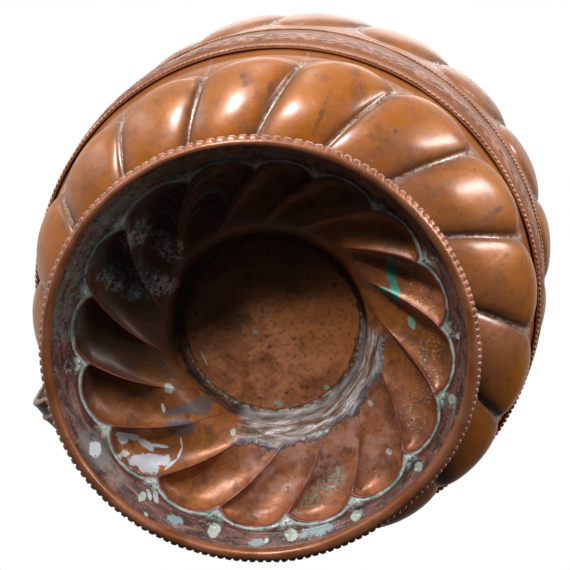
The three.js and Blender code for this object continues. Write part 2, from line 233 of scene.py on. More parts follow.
BASE_STAINS: dict[Stain, list[Stroke]] = {
    Stain.CRUST: [
        Stroke(1.3, 39.9, 1.8, 1.2, 84, 0.6),
        Stroke(-21.9, 31.7, 1.9, 1.3, 65, 0.6),
        Stroke(-8.3, -1.6, 1.2, 1.1, 84, 0.6),
    ],
    Stain.PALE: [
        Stroke(-36.0, -6.0, 3.4, 0.35, 103, 0.5),
        Stroke(-41.5, 2.9, 1.7, 0.8, 103, 0.9),
    ],
}


# Node graphs


class Nodes:
    """Fills a node tree."""

    def __init__(self, tree: bpy.types.NodeTree) -> None:
        """Empties the tree.

        Args:
            tree: The tree to fill.
        """
        self.tree = tree
        tree.nodes.clear()

    def node(self, kind: str, inputs: dict, **settings: object) -> bpy.types.bpy_prop_collection:
        """Adds a node.

        Args:
            kind: The node's type name.
            inputs: Values or sockets by input name or number.
            **settings: The node's own properties.

        Returns:
            The node's outputs.
        """
        node = self.tree.nodes.new(kind)
        for key, value in settings.items():
            setattr(node, key, value)
        for key, value in inputs.items():
            if isinstance(value, bpy.types.NodeSocket):
                self.tree.links.new(value, node.inputs[key])
            else:
                node.inputs[key].default_value = value
        return node.outputs

    def math(self, operation: str, *values: object, clamped: bool = False) -> object:
        """Adds one sum of values and returns its result."""
        inputs = dict(enumerate(values))
        return self.node("ShaderNodeMath", inputs, operation=operation, use_clamp=clamped)[0]

    def fade(self, value: object, low: float, high: float, start: float = 0.0, end: float = 1.0) -> object:
        """Turns low to high into start to end, clamped and with eased ends.

        Args:
            value: The value to turn.
            low: Where the result is start; it may be above high.
            high: Where the result is end.
            start: The first result.
            end: The last result.

        Returns:
            The result's socket.
        """
        inputs = {"Value": value, "From Min": low, "From Max": high, "To Min": start, "To Max": end}
        return self.node("ShaderNodeMapRange", inputs, interpolation_type="SMOOTHSTEP")[0]


class Graph(Nodes):
    """Builds one procedural material; colour is what has been laid so far.

    A point's place about the jug's axis is its radius in millimetres, its angle in degrees as read off the
    photograph, and its height in millimetres.
    """

    def __init__(self, name: str) -> None:
        """Starts an empty material.

        Args:
            name: The material's name.
        """
        self.material = bpy.data.materials.new(name)
        self.material.use_nodes = True
        super().__init__(self.material.node_tree)
        self.colour: object = None
        self.place = self.node("ShaderNodeTexCoord", {})["Object"]
        parts = self.node("ShaderNodeSeparateXYZ", {0: self.place})
        x = self.math("SUBTRACT", parts[0], AXIS_X * MM)
        angle = self.math("DEGREES", self.math("ARCTAN2", parts[1], x))
        self.radius = self.math("DIVIDE", self.far(x, parts[1]), MM)
        self.angle = self.math("WRAP", self.math("SUBTRACT", angle, PHOTO_TURN), 180.0, -180.0)
        self.height = self.math("DIVIDE", parts[2], MM)

    def noise(
        self,
        size: float,
        detail: float = 3.0,
        roughness: float = 0.55,
        warp: float = 0.0,
        place: object = None,
    ) -> object:
        """Adds soft noise.

        Args:
            size: The size of its largest features in millimetres.
            detail: The number of finer layers.
            roughness: The strength of the finer layers.
            warp: How far the pattern is distorted.
            place: Where to read it, if not the object's own coordinates.

        Returns:
            Values about 0.5.
        """
        inputs = {
            "Vector": place or self.place,
            "Scale": 1 / (size * MM),
            "Detail": detail,
            "Roughness": roughness,
            "Distortion": warp,
        }
        return self.node("ShaderNodeTexNoise", inputs)["Fac"]

    def cells(self, size: float, place: object = None) -> object:
        """Adds a cell pattern and returns the distance from the nearest cell's middle."""
        inputs = {"Vector": place or self.place, "Scale": 1 / (size * MM)}
        return self.node("ShaderNodeTexVoronoi", inputs, feature="F1")["Distance"]

    def attribute(self, name: str) -> object:
        """Returns a value that the mesh holds at each vertex."""
        return self.node("ShaderNodeAttribute", {}, attribute_name=name)["Fac"]

    def strands(self, size: float, thick: float) -> object:
        """Adds short curved lines.

        Args:
            size: The size of their bends in millimetres.
            thick: Their thickness in millimetres.

        Returns:
            1 on the lines and 0 off them.
        """
        share = thick * 0.5 / size
        broken = self.fade(self.noise(size * 0.7, 3, 0.6), 0.4, 0.54)
        return self.both(self.line(self.noise(size, 3, 0.5, 1.5), 0.5, share), broken)

    def mix(self, share: object, first: object, second: object) -> object:
        """Mixes two colours, each a socket or 0 to 255 values, and returns the result."""
        tints = [linear(tint) if isinstance(tint, tuple) else tint for tint in (first, second)]
        return self.node("ShaderNodeMix", {0: share, 6: tints[0], 7: tints[1]}, data_type="RGBA")[2]

    def lay(self, tint: object, *shares: object) -> None:
        """Lays a tint over the colour so far, as strongly as the product of the shares."""
        self.colour = self.mix(self.both(*shares), self.colour, tint)

    def both(self, *shares: object) -> object:
        """Returns the product of shares."""
        return functools.reduce(lambda first, second: self.math("MULTIPLY", first, second), shares)

    def total(self, *values: object) -> object:
        """Returns the sum of values."""
        return functools.reduce(lambda first, second: self.math("ADD", first, second), values)

    def either(self, first: object, second: object) -> object:
        """Returns the larger of two shares."""
        return self.math("MAXIMUM", first, second)

    def scaled(self, value: object, factor: float, offset: object = 0.0) -> object:
        """Returns the value times factor plus offset."""
        return self.math("MULTIPLY_ADD", value, factor, offset)

    def frayed(self, value: object, fray: object, reach: float) -> object:
        """Returns the value pushed up and down by noise, over the given reach in all."""
        return self.scaled(self.math("SUBTRACT", fray, 0.5), reach, value)

    def line(self, value: object, centre: float, width: float) -> object:
        """Returns 1 where the value is at centre, falling to 0 at width from it."""
        return self.fade(self.math("ABSOLUTE", self.math("SUBTRACT", value, centre)), width, 0.0)

    def between(self, value: object, low: float, high: float, soft: float) -> object:
        """Returns 1 from low to high, fading to 0 within soft of each end."""
        rising = self.fade(value, low - soft, low + soft)
        return self.both(rising, self.fade(value, high + soft, high - soft))

    def far(self, first: object, second: object) -> object:
        """Returns how far a point with two coordinates is from zero."""
        return self.math("SQRT", self.total(self.both(first, first), self.both(second, second)))

    def swept(self, radius: float, scale: Point, turn: float = 0.0) -> object:
        """Unrolls a wall and squeezes it, so that noise is drawn out on it.

        Args:
            radius: The wall's radius in millimetres.
            scale: How much finer the noise gets round the wall and up it.
            turn: By how many degrees the squeeze leans.

        Returns:
            The place on the wall, in metres.
        """
        inputs = {0: self.scaled(self.angle, math.radians(radius * MM)), 1: self.scaled(self.height, MM)}
        wall = self.node("ShaderNodeCombineXYZ", inputs)[0]
        inputs = {"Vector": wall, "Rotation": (0.0, 0.0, math.radians(turn)), "Scale": (*scale, 1.0)}
        return self.node("ShaderNodeMapping", inputs)[0]

    def stroke(self, mark: Stroke, torn: object, fine: object) -> object:
        """Marks a ragged stroke, seen along the jug's axis.

        Args:
            mark: The stroke.
            torn: Coarse noise that bends its edge.
            fine: Fine noise that frays its edge.

        Returns:
            1 in the stroke and 0 outside.
        """
        inputs = {
            "Vector": self.place,
            "Location": ((AXIS_X + mark.x) * MM, mark.y * MM, 0.0),
            "Rotation": (0.0, 0.0, math.radians(mark.lean)),
            "Scale": (mark.long * MM, mark.wide * MM, ENDLESS),
        }
        local = self.node("ShaderNodeMapping", inputs, vector_type="TEXTURE")[0]
        away = self.node("ShaderNodeVectorMath", {0: local}, operation="LENGTH")["Value"]
        ragged = self.frayed(away, torn, TORN_REACH * mark.tear)
        ragged = self.frayed(ragged, fine, FINE_REACH * mark.tear)
        return self.fade(ragged, 1.0 + mark.soft, 1.0 - mark.soft)

    def stain(self, stains: dict[Stain, list[Stroke]], torn: object, fine: object) -> None:
        """Lays stains over the colour so far.

        Args:
            stains: The strokes by what they are made of.
            torn: Coarse noise that bends their edges.
            fine: Fine noise that frays their edges.
        """
        for stain, strokes in stains.items():
            tint, strength = stain.value
            for mark in strokes:
                self.lay(tint, self.stroke(mark, torn, fine), strength)

    def finish(
        self, roughness: object, bumps: list[tuple[object, float]], **constants: object
    ) -> Material:
        """Ends the graph in a Principled surface of the colour so far.

        Args:
            roughness: The roughness, a value or a socket.
            bumps: Heights with their depth in millimetres.
            **constants: Other inputs by name, with _ for a space.

        Returns:
            The finished material.
        """
        height = self.total(*(self.scaled(source, depth * MM) for source, depth in bumps))
        normal = self.node("ShaderNodeBump", {"Strength": 1.0, "Distance": 1.0, "Height": height})[0]
        inputs = {"Base Color": self.colour, "Roughness": roughness, "Normal": normal}
        for key, value in constants.items():
            inputs[key.replace("_", " ").title().replace("Ior", "IOR")] = value
        surface = self.node("ShaderNodeBsdfPrincipled", inputs)[0]
        self.node("ShaderNodeOutputMaterial", {0: surface})
        return self.material


class LobedGraph(Graph):
    """A graph that also reads the lobes' own map.

    across is 0 on a lobe's crest and 1 in its creases, tip is 1 at the end of its tip, and outline is 1 on
    its outline and more outside it.
    """

    def __init__(self, name: str, tip_start: float) -> None:
        """Starts an empty material.

        Args:
            name: The material's name.
            tip_start: Where the rounded tips start, from 0 to 1 along the lobes.
        """
        super().__init__(name)
        lobes = self.node("ShaderNodeUVMap", {}, uv_map=UV_NAME)[0]
        parts = self.node("ShaderNodeSeparateXYZ", {0: lobes})
        self.across = self.math("ABSOLUTE", self.scaled(self.math("FRACT", parts[0]), 2.0, -1.0))
        length = 1 - tip_start
        self.tip = self.math("MAXIMUM", self.scaled(parts[1], 1 / length, -tip_start / length), 0.0)
        self.outline = self.far(self.across, self.tip)


# Finishes


@dataclass(frozen=True)
class PolishedCopper:
    """Copper under old polish: golden brown, with pinkish streaks of painted glint, pale residue in the
    creases.
    """

    name: str = "polished_copper"
    tip_start: float = 0.78
    chased: float = 1.1
    golden: Colour = (174, 98, 12)
    rosy: Colour = (156, 96, 56)
    dark: Colour = (92, 52, 32)
    violet: Colour = (112, 74, 64)
    wear_and_glint: Colour = (206, 156, 128)
    spot: Colour = (66, 52, 42)
    plain: Colour = (150, 94, 62)
    dust: Colour = (168, 142, 122)
    residue: Colour = (196, 172, 152)
    crust: Colour = (206, 196, 186)

    def metal(self, g: Graph, mottle: object, streak: object) -> None:
        """Lays the metal: golden towards the lower bowl's tips and at one side, rosy elsewhere.

        Args:
            g: The graph.
            mottle: Noise for brown patches.
            streak: Finer noise.
        """
        broad = g.noise(40, 3, 0.6, 0.8)
        low = g.fade(g.height, 150, 120)
        tips = g.both(g.fade(g.height, 60, 92), low)
        side = g.both(g.fade(g.angle, -45, -85), low)
        golden = g.total(g.scaled(broad, 1.5, -0.55), g.scaled(tips, 0.4), g.scaled(side, 0.25))
        g.colour = g.mix(g.fade(golden, 0.0, 0.6), self.rosy, self.golden)
        g.lay(self.violet, g.fade(g.noise(17, 3, 0.6, 1.4), 0.53, 0.68), 0.3)
        g.lay(self.dark, g.fade(mottle, 0.5, 0.7), 0.4)
        # painted glint: pale pinkish streaks laid over the metal as highlights
        g.lay(self.wear_and_glint, g.fade(streak, 0.56, 0.7), 0.2)
        g.lay(self.spot, g.fade(g.cells(15), 0.1, 0.05), g.fade(broad, 0.5, 0.56), 0.55)

    def material(self) -> Material:
        """Builds the material."""
        g = LobedGraph(self.name, self.tip_start)
        mottle = g.noise(9, 4, 0.6)
        fine = g.noise(1.6, 3, 0.6)
        streak = g.noise(4, 4, 0.7, 1.5)
        self.metal(g, mottle, streak)
        g.stain(BODY_STAINS, g.noise(5, 4, 0.65), fine)
        g.lay(self.dark, g.fade(g.across, 0.6, 1.0), g.fade(g.outline, 1.3, 1.0), 0.65)
        g.lay(self.plain, g.fade(g.outline, 1.08, 1.2), 0.35)
        g.lay(self.dust, g.fade(g.across, 0.965, 0.99), g.fade(mottle, 0.46, 0.56), 0.6)
        chased = g.both(g.line(g.outline, self.chased, 0.045), g.fade(streak, 0.3, 0.5))
        g.lay(self.residue, chased, 0.45)
        joint = g.between(g.outline, 0.96, 1.2, 0.08)
        g.lay(self.crust, g.fade(g.across, 0.9, 0.98), joint, g.fade(streak, 0.46, 0.56), 0.75)
        bumps = [(g.noise(13, 2), 0.6), (g.noise(5, 2), 0.12), (streak, 0.06), (fine, 0.04)]
        bumps.append((chased, 0.2))
        coat = {"coat_weight": 0.32, "coat_roughness": 0.26, "coat_ior": 2.2, "specular_ior_level": 0.3}
        return g.finish(g.scaled(mottle, 0.25, 0.36), bumps, metallic=0.25, **coat)


@dataclass(frozen=True)
class DullCopper:
    """The unpolished inside of a wall."""

    name: str = "inside_copper"
    brown: Colour = (104, 66, 46)
    grey: Colour = (120, 108, 98)
    dark: Colour = (58, 40, 30)

    def material(self) -> Material:
        """Builds the material."""
        g = Graph(self.name)
        cloud = g.noise(26, 5, 0.65, 1.0)
        g.colour = g.mix(g.fade(cloud, 0.42, 0.66), self.brown, self.grey)
        g.lay(self.dark, g.fade(g.noise(5, 4), 0.55, 0.75), 0.5)
        bumps = [(g.noise(11, 3), 0.4), (g.noise(1.4, 3), 0.05)]
        return g.finish(g.scaled(cloud, 0.3, 0.36), bumps, metallic=0.7)


@dataclass(frozen=True)
class FootInside:
    """The bell foot's hollow: brown patina, chased outlines full of pale deposit, stains and solder."""

    name: str = "foot_inside"
    tip_start: float = 0.84
    orange: Colour = (184, 114, 74)
    golden: Colour = (170, 100, 38)
    brown: Colour = (114, 68, 46)
    umber: Colour = (82, 50, 40)
    light: Colour = (190, 128, 96)
    sheen: Colour = (226, 176, 160)
    dark_patina_and_painted_shade: Colour = (42, 30, 24)
    pit: Colour = (70, 54, 50)
    red: Colour = (122, 56, 46)
    groove: Colour = (58, 38, 34)
    border: Colour = (134, 90, 78)
    border_dark: Colour = (70, 46, 42)
    border_light: Colour = (178, 150, 142)
    deposit: Colour = (212, 222, 214)
    green_deposit: Colour = (130, 172, 158)
    fleck: Colour = (152, 170, 160)
    drag: Colour = (104, 136, 124)
    score: Colour = (156, 170, 164)
    scratch: Colour = (190, 198, 200)
    lead_dark: Colour = (104, 76, 62)
    lead: Colour = (178, 168, 164)
    painted_lead_glint: Colour = (236, 236, 240)
    lead_blue: Colour = (84, 84, 98)
    lead_old: Colour = (80, 74, 76)
    mint: Colour = (140, 190, 168)
    speck: Colour = (200, 196, 186)
    scratched: tuple[Stroke, ...] = (
        Stroke(-32.0, -59.0, 11.0, 8.5, 64, 0.7, 0.4),
        Stroke(-9.0, -58.0, 7.0, 5.0, 100, 0.8, 0.4),
        Stroke(-24.0, -47.0, 6.0, 4.0, 40, 0.8, 0.4),
        Stroke(-18.0, -74.0, 9.0, 4.0, 166, 0.9, 0.5),
    )

    def copper(self, g: Graph, cloud: object, streak: object) -> None:
        """Lays the bare metal: orange below, golden at both sides, nearly black at the upper left, where
        dark patina at the left and painted shade over the upper wall are laid.

        Args:
            g: The graph.
            cloud: Coarse noise.
            streak: Finer noise.
        """
        sides = g.either(g.fade(g.angle, 92, 122), g.fade(g.angle, 30, -4))
        g.colour = g.mix(g.both(sides, g.fade(cloud, 0.3, 0.5)), self.orange, self.golden)
        g.lay(self.brown, g.fade(cloud, 0.44, 0.64), 0.8)
        g.lay(self.umber, g.fade(streak, 0.5, 0.64), 0.5)
        g.lay(self.light, g.fade(streak, 0.46, 0.34), 0.25)
        hazy = g.fade(g.noise(8, 3, 0.55), 0.4, 0.64)
        g.lay(self.sheen, g.between(g.angle, 34, 104, 12), g.between(g.radius, 56, 74, 9), hazy, 0.65)
        # painted shade: the upper wall, which lies in the lamps' shadow, is darkened by half; the left is
        # dark patina
        upper = g.both(g.fade(g.angle, -40, -75), 0.5)
        left = g.both(g.either(g.fade(g.angle, -92, -112), g.fade(g.angle, 138, 170)), 0.86)
        g.lay(self.dark_patina_and_painted_shade, g.either(upper, left))

    def crust(self, g: Graph) -> None:
        """Lays mint crust and pale specks in some of the lobes over the metal."""
        crumbs = g.fade(g.noise(1.7, 5, 0.75, 0.6), 0.5, 0.56)
        edge = g.scaled(g.angle, -0.35, g.radius)
        g.lay(self.mint, g.between(g.angle, 60, 80, 2.5), g.between(edge, 47.5, 55, 2.0), crumbs, 0.85)
        specks = g.fade(g.noise(1.1, 2), 0.62, 0.67)
        g.lay(self.speck, specks, g.between(g.angle, -34, 34, 4), g.between(g.radius, 70, 82, 3), 0.85)

    def chasing(self, g: LobedGraph, cloud: object) -> object:
        """Lays the border and the chased outlines over the metal: red ridges, pale deposit between them.

        Args:
            g: The graph.
            cloud: Coarse noise.

        Returns:
            How thick the deposit is.
        """
        grains = g.noise(1.5, 4, 0.7)
        ragged = g.frayed(g.outline, g.noise(5, 4, 0.7), 0.14)
        crest = g.fade(g.outline, 1.02, 0.97)
        g.lay(self.red, g.fade(g.across, 0.76, 0.96), crest, g.fade(g.radius, 66, 80), 0.45)
        drawn = g.noise(3.5, 5, 0.7, 0.6, g.swept(90.0, (0.3, 1.6)))
        border = g.mix(g.fade(drawn, 0.42, 0.6), self.border, self.border_dark)
        border = g.mix(g.both(g.fade(drawn, 0.42, 0.34), 0.5), border, self.border_light)
        g.lay(border, g.fade(g.outline, 1.02, 1.06))
        g.lay(self.red, g.line(g.outline, 1.01, 0.09), 0.9)
        g.lay(self.red, g.line(ragged, 1.34, 0.09), 0.8)
        strength = g.scaled(g.fade(cloud, 0.36, 0.48), 0.35, 0.65)
        filled = g.both(g.line(ragged, 1.15, 0.11), g.fade(grains, 0.26, 0.42), strength)
        joint = g.between(ragged, 1.1, 1.42, 0.08)
        cusps = g.both(g.fade(g.across, 0.7, 0.94), joint, g.fade(grains, 0.36, 0.5))
        boss = g.far(g.scaled(g.across, -9.0, 9.0), g.scaled(g.tip, 5.5, -8.4))
        ring = g.both(g.line(boss, 1.15, 0.7), g.fade(grains, 0.44, 0.58), 0.45)
        thick = g.either(filled, g.either(g.both(cusps, strength), ring))
        g.lay(self.fleck, g.fade(ragged, 1.3, 1.4), g.fade(grains, 0.58, 0.64), 0.5)
        g.lay(self.groove, g.line(ragged, 1.27, 0.07), 0.7)
        g.lay(g.mix(g.fade(g.noise(7, 3, 0.6), 0.48, 0.64), self.deposit, self.green_deposit), thick)
        return thick

    def scratches(self, g: Graph) -> None:
        """Lays the grey-green scratches in the upper lobes and border over the rest."""
        dragged = g.fade(g.noise(3.0, 4, 0.7, 0.4, g.swept(90.0, (0.12, 2.0))), 0.52, 0.59)
        petals = g.both(g.between(g.angle, -152, -98, 6), g.between(g.radius, 64, 84, 4), 0.6)
        rim = g.both(g.fade(g.angle, -62, -92), g.fade(g.radius, 83, 87), 0.8)
        g.lay(self.drag, dragged, g.either(petals, rim))
        lines = g.either(g.strands(11.0, 1.0), g.either(g.strands(6.5, 0.7), g.strands(3.8, 0.5)))
        g.lay(self.score, lines, rim, 0.6)
        torn = g.noise(6, 4, 0.65)
        fine = g.noise(1.8, 3, 0.6)
        for mark in self.scratched:
            g.lay(self.scratch, lines, g.stroke(mark, torn, fine), 0.9)

    def solder(self, g: Graph, streak: object) -> object:
        """Lays the smeared solder along the base's lower edge over the rest.

        Args:
            g: The graph.
            streak: Noise that frays the smear's edge.

        Returns:
            How thick the solder is.
        """
        brushed = g.noise(4, 6, 0.72, 0.8, g.swept(50.0, (0.22, 1.0)))
        grains = g.fade(g.noise(2.0, 4, 0.7, 1.0), 0.4, 0.52)
        wave = g.math("SINE", g.math("MULTIPLY", g.angle, math.radians(16)))
        edge = g.scaled(wave, 1.0, g.frayed(g.radius, streak, 9.0))
        smear = g.both(g.fade(edge, 55.2, 53.4), g.between(g.angle, -2, 106, 5))
        lead = g.mix(g.fade(brushed, 0.42, 0.54), self.lead_dark, self.lead)
        # painted glint: white flecks on the brushed solder
        lead = g.mix(g.both(g.fade(brushed, 0.52, 0.58), grains), lead, self.painted_lead_glint)
        lead = g.mix(g.both(g.fade(edge, 50.0, 53.0), grains, 0.85), lead, self.lead_blue)
        g.lay(lead, smear, 0.94)
        g.lay(self.lead_old, g.fade(edge, 59, 54), g.between(g.angle, -104, -66, 6), 0.8)
        return g.both(smear, brushed)

    def material(self) -> Material:
        """Builds the material."""
        g = LobedGraph(self.name, self.tip_start)
        cloud = g.noise(22, 5, 0.62, 0.8)
        streak = g.noise(6, 5, 0.7, 1.4)
        grains = g.noise(1.3, 4, 0.7)
        self.copper(g, cloud, streak)
        self.crust(g)
        thick = self.chasing(g, cloud)
        self.scratches(g)
        lumps = self.solder(g, streak)
        pits = g.both(g.fade(g.cells(6), 0.16, 0.08), g.fade(cloud, 0.44, 0.56))
        g.lay(self.pit, pits, 0.6)
        g.stain(FOOT_STAINS, g.noise(5, 4, 0.65), grains)
        rough = g.total(g.scaled(streak, 0.35, 0.26), g.scaled(g.fade(g.outline, 1.0, 1.06), 0.1))
        bumps = [(g.noise(15, 3), 0.7), (streak, 0.2), (grains, 0.08), (pits, -0.15), (thick, 0.35)]
        bumps.append((lumps, 0.8))
        return g.finish(rough, bumps, metallic=0.25, coat_weight=0.15, coat_roughness=0.3)


@dataclass(frozen=True)
class HammeredBase:
    """The body's underside inside the foot: hammered orange brown with dark spots and a painted shadow over
    its upper part.
    """

    name: str = "hammered_base"
    orange: Colour = (220, 144, 98)
    brown: Colour = (166, 102, 64)
    golden: Colour = (206, 126, 62)
    pit: Colour = (62, 48, 42)
    umber: Colour = (84, 50, 34)
    dark_patina_and_painted_shade: Colour = (40, 28, 22)
    painted_shadow_angle: float = -118.0
    edge: Colour = (70, 50, 40)

    def material(self) -> Material:
        """Builds the material."""
        g = Graph(self.name)
        cloud = g.noise(15, 5, 0.62, 0.5)
        fine = g.noise(2.2, 4, 0.65)
        g.colour = g.mix(g.fade(cloud, 0.38, 0.64), self.orange, self.brown)
        g.lay(self.golden, g.fade(g.angle, 60, 10), g.fade(g.angle, -110, -60), 0.6)
        g.lay(self.pit, g.fade(g.cells(7), 0.2, 0.1), g.fade(cloud, 0.38, 0.5), 0.7)
        g.lay(self.umber, g.fade(fine, 0.5, 0.66), 0.55)
        # painted shadow: the base darkens towards its upper left, where the foot's rim casts its shadow
        away = g.math("WRAP", g.math("SUBTRACT", g.angle, self.painted_shadow_angle), 180.0, -180.0)
        g.lay(self.dark_patina_and_painted_shade, g.fade(g.math("ABSOLUTE", away), 110, 50), g.fade(g.radius, 2, 24), 0.75)
        g.lay(self.edge, g.fade(g.radius, 39, 44), 0.5)
        g.stain(BASE_STAINS, g.noise(4, 4, 0.65), fine)
        bumps = [(g.cells(8), 0.5), (g.noise(20, 2), 0.8), (fine, 0.1)]
        return g.finish(g.scaled(fine, 0.3, 0.4), bumps, metallic=0.3, coat_weight=0.1)


@dataclass(frozen=True)
class RubbedCopper:
    """Rims and rivets: bright and brown copper in patches, dark in their hollows."""

    name: str = "rubbed_copper"
    bright: Colour = (176, 110, 76)
    brown: Colour = (144, 82, 42)
    umber: Colour = (86, 54, 42)
    dark: Colour = (40, 28, 22)

    def material(self) -> Material:
        """Builds the material."""
        g = Graph(self.name)
        cloud = g.noise(26, 4, 0.6, 0.5)
        fine = g.noise(2.2, 4, 0.65)
        g.colour = g.mix(g.fade(cloud, 0.38, 0.62), self.bright, self.brown)
        g.lay(self.umber, g.fade(fine, 0.54, 0.72), 0.5)
        g.lay(self.dark, g.fade(g.attribute("deep"), 0.25, 0.9), 0.9)
        bumps = [(g.noise(8, 3), 0.3), (fine, 0.08)]
        coat = {"coat_weight": 0.5, "coat_roughness": 0.25}
        return g.finish(g.scaled(fine, 0.3, 0.32), bumps, metallic=0.35, **coat)


@dataclass(frozen=True)
class PunchedCopper:
    """The belly band, with a belt of small punched marks round its middle."""

    name: str = "punched_copper"
    bright: Colour = (142, 90, 60)
    brown: Colour = (122, 72, 38)
    strip: Colour = (150, 84, 40)
    punched: Colour = (84, 58, 44)
    raised: Colour = (214, 162, 138)
    umber: Colour = (96, 62, 46)
    groove: Colour = (76, 50, 36)
    radius: float = 123.7
    belt_low: float = 114.0
    belt_high: float = 130.0

    def material(self) -> Material:
        """Builds the material."""
        g = Graph(self.name)
        cloud = g.noise(30, 4, 0.6, 0.5)
        fine = g.noise(2.0, 4, 0.65)
        belt = g.between(g.height, self.belt_low, self.belt_high, 1.2)
        punches = g.cells(2.3, g.swept(self.radius, (0.55, 1.25), -38))
        thinner = g.scaled(g.fade(g.angle, -70, -30), -0.12, 0.42)
        marks = g.both(g.fade(g.math("SUBTRACT", punches, thinner), 0.02, -0.14), belt)
        between = g.both(g.fade(punches, 0.5, 0.62), belt)
        g.colour = g.mix(g.fade(cloud, 0.38, 0.62), self.bright, self.brown)
        g.lay(self.strip, g.fade(g.height, self.belt_low + 0.5, self.belt_low - 1.0), 0.5)
        g.lay(self.punched, marks, 0.6)
        # painted highlight: pale colour on the bumps between the punched marks
        g.lay(self.raised, between, 0.45)
        g.lay(self.umber, g.fade(fine, 0.56, 0.72), 0.4)
        g.lay(self.groove, g.either(g.line(g.height, 104.2, 0.9), g.line(g.height, 143.4, 0.8)), 0.6)
        bumps = [(g.noise(12, 3), 0.35), (marks, -0.45), (between, 0.25), (fine, 0.08)]
        coat = {"coat_weight": 0.05, "coat_roughness": 0.35}
        return g.finish(g.scaled(fine, 0.3, 0.46), bumps, metallic=0.2, **coat)


@dataclass(frozen=True)
class HandledCopper:
    """The strap: dark brown from hands, worn pinkish on its raised edges."""

    name: str = "handled_copper"
    brown: Colour = (110, 72, 54)
    dark: Colour = (70, 48, 38)
    wear_and_glint: Colour = (178, 140, 124)

    def material(self) -> Material:
        """Builds the material."""
        g = Graph(self.name)
        fine = g.noise(1.8, 4, 0.65)
        g.colour = g.mix(g.fade(g.noise(20, 4, 0.6, 0.6), 0.36, 0.64), self.brown, self.dark)
        g.lay(self.wear_and_glint, g.attribute("worn"), g.fade(fine, 0.3, 0.6))
        bumps = [(g.noise(9, 3), 0.4), (fine, 0.06)]
        coat = {"coat_weight": 0.1, "coat_roughness": 0.4}
        return g.finish(g.scaled(fine, 0.25, 0.42), bumps, metallic=0.35, **coat)


@dataclass(frozen=True)
class OldSolder:
    """Tin and lead solder: lumpy grey where it was smeared, darker elsewhere."""

    name: str = "old_solder"
    light: Colour = (150, 144, 142)
    dark: Colour = (92, 84, 82)
    unsmeared_dark: Colour = (40, 30, 25)
    copper: Colour = (122, 78, 54)
    base_light: Colour = (128, 80, 52)
    base_dark: Colour = (84, 52, 36)
    deposit: Colour = (160, 178, 164)

    def material(self) -> Material:
        """Builds the material."""
        g = Graph(self.name)
        lumps = g.noise(5, 5, 0.65, 0.8, g.swept(44.0, (0.3, 1.0)))
        smeared = g.mix(g.fade(lumps, 0.38, 0.62), self.light, self.dark)
        smear_shown = g.either(g.between(g.angle, -4, 108, 6), g.fade(g.height, 60, 61))
        bare = g.both(g.fade(g.angle, 104, 130), g.fade(g.angle, 176, 156))
        copper = g.mix(bare, self.unsmeared_dark, self.copper)
        g.colour = g.mix(smear_shown, g.mix(g.fade(lumps, 0.44, 0.6), copper, self.unsmeared_dark), smeared)
        base = g.mix(g.fade(g.noise(3, 4), 0.4, 0.6), self.base_light, self.base_dark)
        g.lay(base, g.fade(g.radius, 43.6, 41.4), g.between(g.angle, -20, 160, 20))
        ragged = g.scaled(lumps, 3.0, g.radius)
        broken = g.fade(g.noise(2.5, 3), 0.46, 0.56)
        g.lay(self.deposit, g.between(g.angle, -16, 160, 8), broken, g.line(ragged, 43.2, 0.7), 0.8)
        bumps = [(lumps, 0.8), (g.noise(1.5, 3), 0.1)]
        return g.finish(g.scaled(lumps, 0.3, 0.4), bumps, metallic=0.4)


# Meshes


